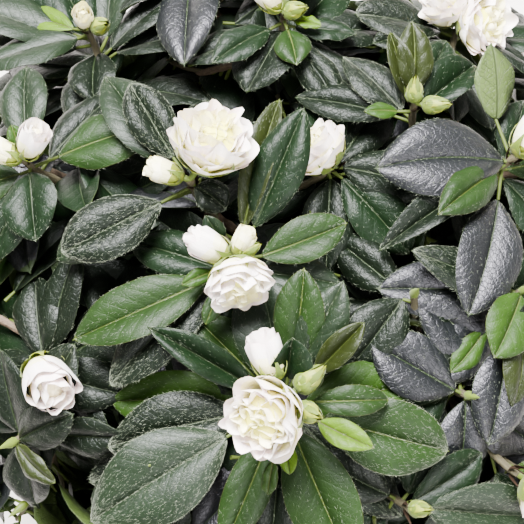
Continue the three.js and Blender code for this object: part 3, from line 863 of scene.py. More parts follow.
def leaf_outline(rows, fullness):
    """Half-width of a blade as a share of its widest: full below the middle, with a short point."""
    inner = np.clip(rows, 0, 1)
    shape = inner**BASE_FULLNESS * (1 - inner) ** fullness
    widest = BASE_FULLNESS / (BASE_FULLNESS + fullness)
    return shape / (widest**BASE_FULLNESS * (1 - widest) ** fullness)


def blade_section(form, half, length, fold, draw):
    """Places across and along a blade laid flat, and how high each of them stands over it."""
    rows = form.rows
    margin = np.minimum(MARGIN_WIDTH, half * 0.3)
    rib = np.minimum(mix(*RIB_WIDTHS, rows), half * 0.4)
    inner = rib[:, None] + (half - margin - rib)[:, None] * form.shares[None, :-1]
    right = np.concatenate([inner, half[:, None]], axis=1)
    x = np.concatenate([-right[:, ::-1], np.zeros((len(rows), 1)), right], axis=1)
    y = rows[:, None] * length * np.ones_like(x)
    share = np.abs(x) / half[:, None]
    body = np.minimum(half, 9)[:, None]
    height = fold * np.abs(x) + draw.uniform(0.09, 0.17) * body * np.sin(math.pi * share**0.85)
    height -= draw.uniform(0.05, 0.3) * body * share**4
    phase = (y - np.abs(x) * VEIN_SLANT) / VEIN_SPACING
    pillow = np.abs(np.sin(math.pi * phase)) ** 0.6
    height += PILLOW_HEIGHT * pillow * np.sin(math.pi * share) ** 0.7 * np.clip(half[:, None] / 9, 0, 1)
    height += draw.uniform(0.2, 0.7) * share**3 * np.sin(
        2 * math.pi * (rows[:, None] * draw.uniform(1.5, 3) + draw.random() + 0.3 * np.sign(x)))
    height[:, form.columns // 2] -= RIB_GROOVE * np.clip(half / 5, 0, 1)
    return x, y, height


def blade_line(rows, foot, ways, length, bend_down, draw):
    """The arched midrib, and the directions across and over the blade at each of its rows."""
    along, upward, side = ways
    angle = -bend_down * rows**1.5
    step = np.diff(rows, prepend=0) * length
    run = np.cumsum(np.cos(angle) * step)
    rise = np.cumsum(np.sin(angle) * step)
    sweep = draw.uniform(-0.09, 0.09) * length * np.clip(rows, 0, 1) ** 2
    middle = foot + run[:, None] * along + rise[:, None] * upward + sweep[:, None] * side
    normal = np.sin(-angle)[:, None] * along + np.cos(angle)[:, None] * upward
    twist = draw.uniform(-0.35, 0.35) * rows
    across = side * np.cos(twist)[:, None] + normal * np.sin(twist)[:, None]
    over = normal * np.cos(twist)[:, None] - side * np.sin(twist)[:, None]
    return middle, across, over


def add_leaf(gather, hairs, form, foot, along, upward, length, width, tone, draw, number,
             fold, bend_down, turned, hairiness):
    """One leaf on its stalk: an arched blade, raised between its veins, with a sunk midrib."""
    side = unit(np.cross(along, upward))
    upward = np.cross(side, along)
    if turned:
        side, upward = -side, -upward
        bend_down = -bend_down
    half = leaf_outline(form.rows, draw.uniform(0.74, 0.94)) * width / 2 + 0.55
    half[-2:] = (0.42, 0.12)
    x, y, height = blade_section(form, half, length, fold, draw)
    middle, across, over = blade_line(form.rows, foot, (along, upward, side), length, bend_down, draw)
    top = middle[:, None] + across[:, None] * x[..., None] + over[:, None] * height[..., None]
    below = top[1:-1, form.below] - over[1:-1, None] * np.array(BLADE_THICKNESS)[None, :, None]
    flat = np.stack([x, y + number % SURFACE_COUNT * SURFACE_STRETCH], axis=-1)
    ends = "_dark" if tone in DARK_TONES else ""
    kinds = np.array([SLOT[tone], SLOT["rib" + ends], SLOT["margin" + ends]])[form.top_kind]
    back = np.full(len(form.under_faces), SLOT["under"])
    gather.add(np.concatenate([top.reshape(-1, 3), below.reshape(-1, 3)]),
               np.concatenate([form.top_faces, form.under_faces]), np.concatenate([kinds, back]),
               np.concatenate([flat.reshape(-1, 2), flat[1:-1, form.below].reshape(-1, 2)]))
    if hairiness > 0:
        add_hairs(hairs, top, over, half, length, draw, hairiness)
    return middle


def add_hairs(hairs, top, over, half, length, draw, hairiness):
    """Short pale hairs lying forward on a blade, and a fringe of them along its margins."""
    count = int(hairiness * length * half.max() * HAIRS_A_SQUARE)
    rng = np.random.default_rng(draw.randrange(1 << 30))
    rows, columns = top.shape[:2]
    i = rng.uniform(0.5, rows - 2.6, count)
    j = rng.uniform(0.3, columns - 1.3, count)
    fringe = rng.random(count) < FRINGE_SHARE
    j = np.where(fringe, np.where(rng.random(count) < 0.5, 0, columns - 1.001), j)
    low_i, low_j = i.astype(int), j.astype(int)
    part_i, part_j = (i - low_i)[:, None], (j - low_j)[:, None]
    corner = [top[low_i + a, low_j + b] for a in (0, 1) for b in (0, 1)]
    root = mix(mix(corner[0], corner[1], part_j), mix(corner[2], corner[3], part_j), part_i)
    forward = corner[2] - corner[0]
    forward /= np.linalg.norm(forward, axis=1, keepdims=True) + 1e-9
    aside = corner[1] - corner[0]
    aside /= np.linalg.norm(aside, axis=1, keepdims=True) + 1e-9
    lift = over[low_i]
    outward = np.where(j < columns / 2, -1.0, 1.0)[:, None] * aside
    lean = rng.uniform(-0.35, 0.35, count)[:, None]
    way = np.where(fringe[:, None], forward + outward * 0.9, forward + aside * lean + lift * 0.22)
    way /= np.linalg.norm(way, axis=1, keepdims=True)
    size = rng.uniform(*HAIR_LENGTHS, count)[:, None]
    wide = np.cross(way, lift) * HAIR_HALF_WIDTH
    root = root + lift * 0.05
    places = np.stack([root - wide, root + wide, root + way * size], axis=1).reshape(-1, 3)
    base = np.arange(count) * 3
    faces = np.stack([base, base + 1, base + 2, np.full(count, -1)], axis=1)
    hairs.add(places, faces, 0)


def add_stalk(gather, start, end, radius):
    """A leaf's stalk, straight from the twig to the blade."""
    way = end - start
    length = np.linalg.norm(way)
    if length < 0.5:
        return
    way = way / length
    side = unit(np.cross(way, [0.3, 0.9, 0.2]))
    over = np.cross(way, side)
    turns = np.arange(5) / 5 * 2 * math.pi
    ring = np.cos(turns)[:, None] * side + np.sin(turns)[:, None] * over
    rows = [start + ring * radius * 1.2, mix(start, end, 0.5) + ring * radius, end + ring * radius * 0.8]
    gather.add(np.concatenate(rows), grid_faces(3, 5, True), SLOT["shaft"])


def leaf_frame(shoot, bearing, lift):
    """The direction of a leaf at a bearing and lift on a shoot, and the one that its face points to."""
    along = shoot.raised(bearing, lift)
    return along, unit(shoot.axis - along * shoot.axis.dot(along))


def add_facing_leaves(shoot, sight, gather, hairs, draw):
    """The listed leaves, from the top down."""
    for order, entry in enumerate(FACING_LEAVES[shoot.number]):
        bearing, reach, length, width, lift, words = entry
        tone, *ways = words.split()
        turned = tone == "turned"
        along, upward = leaf_frame(shoot, bearing, lift)
        out = max(reach - length * math.cos(math.radians(lift)), 1.5)
        level = shoot.raised(bearing, 0)
        depth = FIRST_LEAF_DEPTH + LEAF_DEPTH_STEP * order + SUNK.get(shoot.number, 0)
        foot = shoot.tip - shoot.axis * (depth + 0.04 * out) + level * out
        fold = FOLDED if "folded" in ways else draw.uniform(0.12, 0.3)
        bend_down = ARCHED if "arched" in ways else draw.uniform(0.25, 0.6)
        hairiness = HAIRY if "hairy" in ways else THINLY_HAIRY
        middle = add_leaf(gather, hairs, FINE_LEAF, foot, along, upward, length, width,
                          "deep" if turned else tone, draw, shoot.number * LEAVES_A_SHOOT + order,
                          fold, bend_down, turned, hairiness)
        seen = middle[8::4]
        sight.add(seen, [width * 0.36] * len(seen))
        add_stalk(gather, shoot.on_twig(depth), foot, 0.8)


def leaf_tone(shoot, share, draw):
    """A tone by place on the shoot: young leaves near its tip are brighter, shaded ones darker."""
    pick = draw.random()
    share = 0 if shoot.inner else share
    facing = shoot.number < len(FACING_SHOOTS)
    if share > 0.75 and not (facing and shoot.number >= FIRST_SHADED_SHOOT):
        tones = YOUNG_TONES
    elif share > 0.4:
        tones = MIDDLE_TONES
    elif facing or shoot.number % 3 == 0:
        tones = SHADED_TONES
    else:
        tones = OLD_TONES
    return next(tone for most, tone in tones if pick < most)


class Sight:
    """What is listed for the facing side, as round patches that no other leaf is to cover, and
    the flowers, as balls that no other leaf is to enter."""

    def __init__(self):
        self.patches, self.sizes = [], []
        self.middles, self.radii = [], []

    def add(self, places, sizes):
        self.patches += list(places)
        self.sizes += list(sizes)

    def add_flowers(self, shoot):
        """Notes the flowers that a shoot bears."""
        for stage, bearing, tilt, size, stalk in borne_flowers(shoot, self):
            way = shoot.raised(bearing, 90 - tilt)
            high, radius = FLOWER_BALLS[stage]
            self.middles.append(flower_foot(shoot, bearing, tilt, stalk) + way * high * size)
            self.radii.append(radius * size)

    def meets_flower(self, foot, along, length):
        places = foot + along * np.linspace(0.1, 1, 9)[:, None] * length
        off = places[:, None] - np.array(self.middles)[None]
        return bool(np.any(np.linalg.norm(off, axis=2) < np.array(self.radii) + LEAF_SPARE))

    def covered_by(self, foot, along, upward, length, width):
        """Whether a leaf would lie over one of the patches, seen along the camera's view."""
        side = np.cross(along, upward)
        steps = ((0.3, 0), (0.5, -0.35), (0.5, 0.35), (0.75, -0.2), (0.75, 0.2), (0.98, 0))
        return self.hides(*[foot + along * length * a + side * width * b for a, b in steps])

    def hides(self, *places):
        """Whether one of some places lies over a patch."""
        if not self.patches:
            return False
        places = np.array(places)
        eye = VIEW_TARGET + VIEW_BACK * VIEW_DISTANCE
        patches, sizes = np.array(self.patches), np.array(self.sizes)
        off = places[:, None] - patches[None]
        sight = eye - patches
        sight /= np.linalg.norm(sight, axis=1, keepdims=True)
        nearer = np.einsum("ijk,jk->ij", off, sight)
        aside = np.linalg.norm(off - nearer[..., None] * sight[None], axis=-1)
        return bool(np.any((aside < sizes) & (nearer > -PATCH_DEPTH)))


# The gap at the crown's front left corner, along the line of sight, where the pale floor shows
GAP_ASIDE = -84.0
GAP_OFFSET = (GAP_ASIDE, GAP_ASIDE * math.sin(VIEW_ELEVATION), GAP_ASIDE * math.cos(VIEW_ELEVATION))
GAP_POINT = VIEW_TARGET + np.array(GAP_OFFSET)
GAP_WAY = unit(GAP_POINT - VIEW_TARGET - VIEW_BACK * VIEW_DISTANCE)
GAP_RADIUS = 7.0


def keeps_gap(foot, along, length, spare=0.0):
    """Whether a leaf leaves the gap at the crown's front corner open."""
    places = foot + along * np.linspace(0, length, 6)[:, None]
    off = places - GAP_POINT
    away = np.linalg.norm(off - (off @ GAP_WAY)[:, None] * GAP_WAY, axis=1)
    return away.min() > GAP_RADIUS + spare


def in_reach(foot, along, length):
    """Whether a leaf's tip keeps above the pot and within the room of the source."""
    tip = foot + along * length
    low, high = CAD_BOX[0][2] / MM + LOWEST_LEAF, CAD_BOX[1][2] / MM - 1
    return low < tip[2] < high and math.hypot(tip[0], tip[1]) < DOME_RADIUS + WIDEST_LEAF


def add_whorl(shoot, sight, gather, hairs, draw, form, whorl, hairiness):
    """The leaves of a whorl, from long and low to short and upright. Returns how many grew."""
    grown_leaves = 0
    for k in range(whorl.first, whorl.last):
        share = (k - whorl.first) / max(whorl.last - whorl.first - 1, 1)
        bearing = shoot.spin + k * GOLDEN_ANGLE
        lift = mix(*whorl.lifts, share) + draw.uniform(-7, 7)
        depth = mix(*whorl.depths, share)
        length = mix(*whorl.lengths, share) * (0.88 + 0.24 * spread(shoot.number, 5 + k))
        node = shoot.tip - shoot.axis * depth
        along, upward = leaf_frame(shoot, bearing, lift)
        foot = node + shoot.raised(bearing, lift * 0.5) * draw.uniform(4, 6.5)
        while length > LEAST_LEAF and (not in_reach(foot, along, length)
                                       or sight.meets_flower(foot, along, length)):
            length *= 0.85
        width = length * draw.uniform(0.42, 0.56)
        if length <= LEAST_LEAF or not keeps_gap(foot, along, length):
            continue
        if sight.covered_by(foot, along, upward, length, width):
            continue
        tone = leaf_tone(shoot, share if whorl.first == 0 else 0, draw)
        fold = draw.choice((0.12, 0.2, 0.3, 0.55))
        bend_down = draw.uniform(0.2, 0.75)
        number = shoot.number * LEAVES_A_SHOOT + k + RULE_LEAF_NUMBER
        add_leaf(gather, hairs, form, foot, along, upward, length, width, tone, draw, number, fold,
                 bend_down, False, hairiness)
        add_stalk(gather, shoot.on_twig(depth), foot, 0.75)
        grown_leaves += 1
    return grown_leaves


def add_side_shoots(shoot, sight, twigs, gather, hairs, draw):
    """Finer twigs from the side of a shoot's twig, each with a few leaves."""
    places = SIDE_SHOOT_PLACES[:2] if shoot.inner else SIDE_SHOOT_PLACES
    for k, place in enumerate(places):
        start = shoot.twig.point(place)
        bearing = shoot.spin + 80 + k * GOLDEN_ANGLE
        out = shoot.raised(bearing, 30)
        end = start + out * draw.uniform(*SIDE_SHOOT_LENGTHS)
        way = unit(out + shoot.axis * 0.6)
        if not in_reach(start, way, np.linalg.norm(end - start)):
            continue
        side = Shoot(shoot.number * 7 + k + 3, end, 360 * spread(shoot.number, k), [], True)
        side.axis = way
        side.twig = bend(start, unit(out + shoot.twig.way(place)), end, way, 0.35)
        grown_leaves = add_whorl(side, sight, gather, hairs, draw, INNER_LEAF, SIDE_WHORL, 0.0)
        if grown_leaves > 1 and not sight.hides(end):
            twigs.append((side.twig, *SIDE_SHOOT_RADII, side))


def keep_in_sight(shoots, sight):
    """Notes the facing shoots' flowers as patches that stay uncovered."""
    for shoot in shoots[:len(FACING_SHOOTS)]:
        deep = DEEP_SHARE if shoot.number in DEEP_SHOOTS else 1.0
        for stage, bearing, tilt, size, stalk in shoot.flowers:
            reach = FLOWER_REACHES[stage] * size
            foot = flower_foot(shoot, bearing, tilt, stalk)
            sight.add([foot + shoot.raised(bearing, 90 - tilt) * reach], [reach * deep])


def add_leaves(shoots, sight, twigs, groups, hairs, draw):
    keep_in_sight(shoots, sight)
    for shoot in shoots:
        if shoot.number in FACING_LEAVES:
            group = groups["facing" if shoot.number in FRONT_SHOOTS else "upper"]
            add_facing_leaves(shoot, sight, group, hairs, draw)
    for shoot in shoots:
        sight.add_flowers(shoot)
    for shoot in shoots:
        near = shoot.number < len(FACING_SHOOTS)
        high = shoot.tip[2] > DOME_LEVEL + 40
        gather = groups["facing" if near else "inner" if shoot.inner else "upper" if high else "lower"]
        if shoot.number in FACING_LEAVES:
            whorls = [(PLAIN_LEAF, UNDER_WHORL, 0.1)]
        else:
            hairiness = 0.3 if near else 0.1 if high and not shoot.inner else 0.0
            rosette = ROSETTE
            if shoot.inner:
                rosette = rosette._replace(last=INNER_ROSETTE_COUNT)
            if any(stage == "bloom" for stage, *_ in shoot.flowers):
                rosette = rosette._replace(lifts=BLOOMING_LIFTS)
            whorls = [(FINE_LEAF if near else PLAIN_LEAF, rosette, hairiness),
                      (PLAIN_LEAF, DROOPING_WHORL, 0.0), (PLAIN_LEAF, RISING_WHORL, 0.0)]
        for form, whorl, hairiness in whorls:
            add_whorl(shoot, sight, gather, hairs, draw, form, whorl, hairiness)
        add_side_shoots(shoot, sight, twigs, groups["inner"], hairs, draw)


# What clouds on the petals do to their colour: a faint blush outside, yellow-green in the depths
PALE_BLUSH = (1.0, 0.91, 0.95)
GREEN_DEPTH = (0.94, 0.97, 0.74)

FLOWER_SLOTS = ("petal", "petal_warm", "petal_depth", "cream", "scale", "scale_edge", "husk")
PART = {name: number for number, name in enumerate(FLOWER_SLOTS)}

# Tones of a petal from its base to its lip, deeper on inner petals: partly the flower's own yellow-green
# throat, partly painted light, a warm glow put where the folds and middle lie in shade
OUTER_TONES = ("petal_depth", "petal_depth", "petal_warm", "petal_warm", "petal")
DEEP_TONES = ("petal_depth", "petal_depth", "petal_depth", "petal_warm", "petal")
CORE_TONES = ("petal_depth", "petal_depth", "petal_depth", "petal_warm", "petal_warm")
OPENING_TONES = ("scale_edge", "scale_edge", "cream", "petal_warm", "petal", "petal")
YOUNG_PETAL_TONES = ("scale_edge", "scale_edge", "cream", "petal_warm")

# Whorls of petals in an open flower, from the outside in, in each of the two swirls at its middle,
# and in an opening bud: count, widest radius, radius at the lip, height, width, tones and waves of
# the lip
PetalWhorl = namedtuple("PetalWhorl", "count belly lip height width tones ruffle")
BLOOM_WHORLS = (
    PetalWhorl(5, 14, 18, 14, 14.5, OUTER_TONES, 1.5),
    PetalWhorl(5, 13, 15.8, 18, 12.5, OUTER_TONES, 1.9),
    PetalWhorl(6, 11.4, 13.6, 20.6, 10, DEEP_TONES, 2.2),
    PetalWhorl(5, 9.2, 11, 22.2, 9, DEEP_TONES, 2.4),
)
SWIRL_WHORLS = (
    PetalWhorl(4, 5, 6, 22.4, 6.5, CORE_TONES, 1.6),
    PetalWhorl(3, 2.6, 3.2, 23.2, 4.6, CORE_TONES, 1.6),
)
OPENING_WHORLS = (
    PetalWhorl(4, 7, 6.4, 20, 7.6, OPENING_TONES, 0.75),
    PetalWhorl(4, 5.4, 4.8, 22, 6.4, OPENING_TONES, 0.75),
    PetalWhorl(3, 3.4, 2.8, 22.8, 4.8, OPENING_TONES, 0.75),
)

# How far each swirl stands from the axis, the size under which an opening bud is still young, and the
# radius and height of the foot that petals rise from
SWIRL_ASIDE = 3.6
YOUNG_SIZE = 0.75
FLOWER_FOOT = (1.6, 1.0)
OPENING_FOOT = (1.4, 0.5)

# The hearts inside the petals, as radius and height
BLOOM_HEART = ((2, 2), (9, 8), (11, 13), (9.4, 17), (6, 19), (2.6, 20), (0.1, 19.8))
OPENING_HEART = ((1.5, 2), (3.6, 10), (3.2, 17), (0.1, 19))

# Green scales round a flower as radius, height and count, and whorls of them in a bud from the inside
# out as radius and height
BLOOM_SCALES = (15.4, 14.5, 7)
OPENING_SCALES = (7.3, 12, 6)
BUD_WHORLS = ((2.6, 13.6), (3.9, 12.6), (4.5, 10.4), (4.9, 7.6), (4.6, 5.0))
BUD_SCALE_COUNT = 4

# The dry scales under a shoot's flowers: how many, the turn between them in radians, and, as for a
# petal, the widest radius, the radius at the lip, the height and the width
HUSK_COUNT = 4
HUSK_TURN = 2.4
HUSK_SIZES = (3.4, 4.6, 5, 2.0)

FLOWER_STALK_RADIUS = 1.1
FLOWER_STALK_FLARE = 0.3


def petal(gather, place, turn, belly, lip, height, width, slots, draw,
          ruffle, point, foot, fine):
    """One petal or scale: a sheet that rises from the flower's base, wraps round its axis and opens
    at a softly waved lip. Slots are the materials from base to lip."""
    rows, columns = (13, 13) if fine else (7, 7)
    t = np.linspace(0, 1, rows)[:, None]
    s = np.linspace(-1, 1, columns)[None, :]
    phase = draw.uniform(0, 6.28)
    reach = 1 - (0.24 + 0.46 * point) * np.abs(s) ** (2.8 - 1.6 * point)
    u = t * reach
    corners = ((foot[0], foot[1]), (belly, foot[1] + height * 0.12), (belly * 1.08, height * 0.72),
               (lip, height))
    weights = ((1 - u) ** 3, 3 * u * (1 - u) ** 2, 3 * u * u * (1 - u), u**3)
    radius = sum(w * c[0] for w, c in zip(weights, corners))
    rise = sum(w * c[1] for w, c in zip(weights, corners))
    spans = width * np.clip(0.3 + t * 1.5, 0, 1) * (1 - point * t**1.5 * 0.9)
    angle = turn + s * spans / np.maximum(radius, 2.2)
    wave = ruffle * t**1.8
    radius = radius + wave * np.sin(s * draw.uniform(3.2, 5.6) + phase)
    radius = radius + wave * 0.36 * np.sin(s * 8 + phase * 3) + wave * 0.5 * (1 - s**2)
    rise = rise + wave * 0.5 * np.cos(s * draw.uniform(2, 3.6) + phase * 2) * t
    local = np.stack([radius * np.cos(angle), radius * np.sin(angle), rise * np.ones_like(s)], axis=-1)
    faces = grid_faces(rows, columns)
    band = np.repeat(np.linspace(0, len(slots) - 0.001, rows - 1).astype(int), columns - 1)
    flat = np.stack(np.broadcast_arrays(s * width, t * height), axis=-1).reshape(-1, 2)
    gather.add(place(local.reshape(-1, 3)), faces, np.array([PART[n] for n in slots])[band], flat)


def set_on(tip, way, size=1.0):
    """Carries a flower's own places, its axis up, to a point and direction on the plant."""
    side = unit(np.cross([0.17, 0.93, 0.31], way))
    over = np.cross(way, side)
    turned = np.array([side, over, way])
    return lambda local: tip + (local * size) @ turned


def add_scales(gather, place, radius, height, count, draw):
    for k in range(count):
        turn = k / count * 2 * math.pi + draw.uniform(-0.15, 0.15)
        slots = ("scale", "scale", "scale_edge") if k % 3 else ("scale_edge", "scale", "scale")
        petal(gather, place, turn, radius, radius * 0.97, height * draw.uniform(0.85, 1.1), radius * 0.8,
              slots, draw, 0.12, 0.9, (1.2, -0.5), False)


def add_heart(gather, place, profile, slot):
    """The small crowded petals inside a flower, as one dimpled dome."""
    columns = 16
    turns = np.arange(columns) / columns * 2 * math.pi
    radius, height = np.array(profile, float).T[..., None]
    dimples = 1 + 0.1 * np.sin(turns * 5 + height) + 0.06 * np.sin(turns * 3 - height * 2)
    radius = radius * dimples
    height = height * np.ones(columns)
    local = np.stack([radius * np.cos(turns), radius * np.sin(turns), height], axis=-1)
    faces = grid_faces(len(profile), columns, True)
    gather.add(place(local.reshape(-1, 3)), faces, PART[slot])


def add_bloom(gather, place, draw, fine, openness):
    """A half-open double flower: whorls of waved petals, deeper coloured inwards, round two swirls."""
    for number, whorl in enumerate(BLOOM_WHORLS):
        lip = whorl.lip * (openness if number == 0 else 1)
        for k in range(whorl.count):
            turn = (k + 0.5 * (number % 2)) / whorl.count * 2 * math.pi + draw.uniform(-0.3, 0.3)
            grow = draw.uniform(0.9, 1.07)
            petal(gather, place, turn, whorl.belly * draw.uniform(0.94, 1.04),
                  lip * draw.uniform(0.88, 1.08), whorl.height * grow,
                  whorl.width * draw.uniform(0.82, 1.1), whorl.tones, draw, whorl.ruffle, 0.0,
                  FLOWER_FOOT, fine)
    lean = draw.uniform(0, 2 * math.pi)
    for side in (-1, 1):
        aside = np.array([math.cos(lean), math.sin(lean), 0]) * side * SWIRL_ASIDE

        def place_aside(local, aside=aside):
            return place(local + aside)

        for whorl in SWIRL_WHORLS:
            for k in range(whorl.count):
                turn = k / whorl.count * 2 * math.pi + draw.uniform(-0.4, 0.4)
                petal(gather, place_aside, turn, whorl.belly, whorl.lip * draw.uniform(0.85, 1.1),
                      whorl.height * draw.uniform(0.92, 1.05), whorl.width * draw.uniform(0.85, 1.15),
                      whorl.tones, draw, whorl.ruffle, 0.0, FLOWER_FOOT, fine)
    # The heart's yellow-green is partly the crowded inner petals' own colour and partly painted light, a
    # warm glow in the shaded middle
    add_heart(gather, place, BLOOM_HEART, "petal_depth")
    add_scales(gather, place, *BLOOM_SCALES, draw)


def add_opening(gather, place, draw, fine, young):
    """A bud that is opening: petals rolled into a barrel, with scales at its foot."""
    for whorl in OPENING_WHORLS:
        tones = YOUNG_PETAL_TONES if young else whorl.tones
        for k in range(whorl.count):
            turn = k / whorl.count * 2 * math.pi + whorl.belly + draw.uniform(-0.2, 0.2)
            petal(gather, place, turn, whorl.belly, whorl.lip * draw.uniform(0.9, 1.1),
                  whorl.height * draw.uniform(0.93, 1.04), whorl.width, tones, draw, whorl.ruffle, 0.0,
                  OPENING_FOOT, fine)
    add_heart(gather, place, OPENING_HEART, "petal_warm")
    add_scales(gather, place, *OPENING_SCALES, draw)


def add_bud(gather, place, draw):
    """A closed bud: whorls of pointed scales that hug an egg shape."""
    for number, (radius, height) in enumerate(BUD_WHORLS):
        slots = ("scale_edge", "scale", "scale") if number % 2 else ("scale", "scale", "scale_edge")
        for k in range(BUD_SCALE_COUNT):
            turn = (k + 0.5 * (number % 2)) / BUD_SCALE_COUNT * 2 * math.pi + draw.uniform(-0.1, 0.1)
            petal(gather, place, turn, radius * 1.06, radius * 0.3 + 0.1 * number, height, radius * 1.02,
                  slots, draw, 0.05, 0.55, (1.0, -0.8), False)


# How a flower is tested for what it would cover: its lift, then its length and width beside what is
# listed, then its length and spare beside the open corner
FLOWER_LIFT = 60
FLOWER_COVER = (14, 6)
FLOWER_FILL = (26, 18)


def borne_flowers(shoot, sight):
    """A shoot's flowers, without those that would cover what is listed or the open corner."""
    if shoot.number < len(FACING_SHOOTS):
        return shoot.flowers
    borne = []
    for flower in shoot.flowers:
        stage, bearing, *_ = flower
        way = shoot.raised(bearing, FLOWER_LIFT)
        if stage == "bloom" and shoot.tip[2] < LOWEST_BLOOM:
            continue
        covers = sight.covered_by(shoot.tip, way, shoot.raised(bearing + 90, 0), *FLOWER_COVER)
        if not covers and keeps_gap(shoot.tip, way, *FLOWER_FILL):
            borne.append(flower)
    return borne


def add_flowers(shoots, sight, blossom, buds, draw):
    for shoot in shoots:
        fine = shoot.number < len(FACING_SHOOTS)
        borne = borne_flowers(shoot, sight)
        for stage, bearing, tilt, size, stalk in borne:
            way = shoot.raised(bearing, 90 - tilt)
            foot = flower_foot(shoot, bearing, tilt, stalk)
            place = set_on(foot - way * TWIG_RADIUS * 0.8, way, size)
            if stalk > 1:
                line = bend(shoot.tip, unit(foot - shoot.tip + shoot.axis), foot, way, 0.3)
                tube(buds, line, lambda along, turn: FLOWER_STALK_RADIUS + FLOWER_STALK_FLARE * along, 7, 5,
                     PART["scale"])
            if stage == "bloom":
                add_bloom(blossom, place, draw, fine, draw.uniform(0.96, 1.08))
            elif stage == "opening":
                add_opening(buds, place, draw, fine, size < YOUNG_SIZE)
            else:
                add_bud(buds, place, draw)
        if borne:
            place = set_on(shoot.tip - shoot.axis * 2, shoot.axis)
            for k in range(HUSK_COUNT):
                petal(buds, place, k * HUSK_TURN, *HUSK_SIZES, ("husk",), draw, 0.3, 0.8, (1.3, -2),
                      False)
        elif not shoot.inner:
            end = shoot.on_twig(max(shoot.top - 1, 0))
            add_heart(buds, set_on(end, shoot.axis), TIP_BUD, "scale")


def bark_relief(places):
    """How far the bark stands out at each place."""
    return np.array([noise.fractal(Vector(p) * BARK_SCALE, 0.9, 2.1, 4) for p in places]) * BARK_DEPTH


def add_limbs(gather, trunk, boughs):
    """Trunk and boughs with the ridges and flakes of their bark."""
    def trunk_radius(along, turn):
        flare = TRUNK_FLARE * (1 - along) ** 5 * (1 + 0.25 * np.cos(3 * turn + 0.6))
        ridges = 0.35 * np.sin(turn * 7 + along * 9) + 0.25 * np.sin(turn * 13 - along * 14)
        return mix(TRUNK_BASE_RADIUS, TRUNK_TOP_RADIUS, along) + flare + ridges * 0.8

    tube(gather, trunk, trunk_radius, 48, 70, 0)
    for number, bough in enumerate(boughs):
        def bough_radius(along, turn, bough=bough, number=number):
            start, end = bough.radii
            collar = 0.9 * np.exp(-along * 18)
            knots = 0.12 * np.sin(turn * 5 + along * 21 + number) + 0.1 * np.sin(along * 60 + number * 2)
            return mix(start, end, along) + collar + knots
        tube(gather, bough.line, bough_radius, 20, 60, 0)
    for places in gather.places:
        push = bark_relief(places)
        middle = places.mean(axis=0)
        away = places - middle
        away[:, 2] = 0
        places += away / (np.linalg.norm(away, axis=1, keepdims=True) + 1e-6) * push[:, None]


def inner_radius(height):
    share = height / POT_HEIGHT
    return mix(POT_BASE_RADIUS, POT_RIM_RADIUS - BAND_STEP, share) - POT_WALL


def turned_mesh(name, profile, steps, material):
    """A profile of radius and height turned round the pot's axis."""
    bm = bmesh.new()
    rings = []
    for radius, height in profile:
        if radius < 1e-6:
            rings.append([bm.verts.new((0, 0, height * MM))])
            continue
        turns = [2 * math.pi * k / steps for k in range(steps)]
        rings.append([bm.verts.new((radius * MM * math.cos(a), radius * MM * math.sin(a), height * MM))
                      for a in turns])
    for low, high in zip(rings, rings[1:]):
        for k in range(steps):
            n = (k + 1) % steps
            if len(low) == 1:
                bm.faces.new((low[0], high[n], high[k]))
            elif len(high) == 1:
                bm.faces.new((low[k], low[n], high[0]))
            else:
                bm.faces.new((low[k], low[n], high[n], high[k]))
    bmesh.ops.recalc_face_normals(bm, faces=bm.faces)
    mesh = bpy.data.meshes.new(name)
    bm.to_mesh(mesh)
    bm.free()
    mesh.materials.append(material)
    mesh.polygons.foreach_set("use_smooth", np.ones(len(mesh.polygons), bool))
    return link_object(name, mesh)


def finish_nodes(name, colour, roughness):
    material = bpy.data.materials.new(name)
    material.use_nodes = True
    shader = material.node_tree.nodes["Principled BSDF"]
    shader.inputs["Base Color"].default_value = (*colour, 1)
    shader.inputs["Roughness"].default_value = roughness
    return material, material.node_tree, shader


def node(tree, kind, **inputs):
    """A node of a kind, with inputs set by name or linked to another node's socket."""
    made = tree.nodes.new(kind)
    for name, value in inputs.items():
        socket = made.inputs[int(name[1:])] if name[0] == "_" else made.inputs[name.replace("_", " ")]
        if isinstance(value, bpy.types.NodeSocket):
            tree.links.new(value, socket)
        else:
            socket.default_value = value
    return made


def maths(tree, operation, first, second=0.0):
    made = node(tree, "ShaderNodeMath", _0=first, _1=second)
    made.operation = operation
    return made.outputs[0]


def faded(tree, pattern, share):
    """A pattern of 0 to 1 with a share of its depth left, and 1 where it was 1."""
    return maths(tree, "ADD", maths(tree, "MULTIPLY", pattern, share), 1 - share)


def shaded(colour, factor):
    return tuple(channel * factor for channel in colour)


def on_surface(tree, across=1.0, along=1.0):
    """A place on a piece's own surface, in millimetres, stretched across or along it."""
    source = tree.nodes.new("ShaderNodeUVMap")
    source.uv_map = "surface"
    return node(tree, "ShaderNodeMapping", Vector=source.outputs[0], Scale=(across, along, 1)).outputs[0]


def in_space(tree):
    """A place in the plant's own space, in metres."""
    return tree.nodes.new("ShaderNodeTexCoord").outputs["Object"]


def noise_of(tree, places, scale, detail=3.0):
    return node(tree, "ShaderNodeTexNoise", Vector=places, Scale=scale, Detail=detail).outputs[0]


def spread_roughness(tree, shader, source, low, high):
    part = node(tree, "ShaderNodeMapRange", Value=source, To_Min=low, To_Max=high)
    tree.links.new(part.outputs[0], shader.inputs["Roughness"])


def tint(tree, shader, source, first, second):
    """The base colour, moving between two near tints with a pattern."""
    made = node(tree, "ShaderNodeMix")
    made.data_type = "RGBA"
    colours = [socket for socket in made.inputs if socket.type == "RGBA"]
    colours[0].default_value = (*first, 1)
    colours[1].default_value = (*second, 1)
    tree.links.new(source, made.inputs["Factor"])
    tree.links.new([out for out in made.outputs if out.type == "RGBA"][0], shader.inputs["Base Color"])


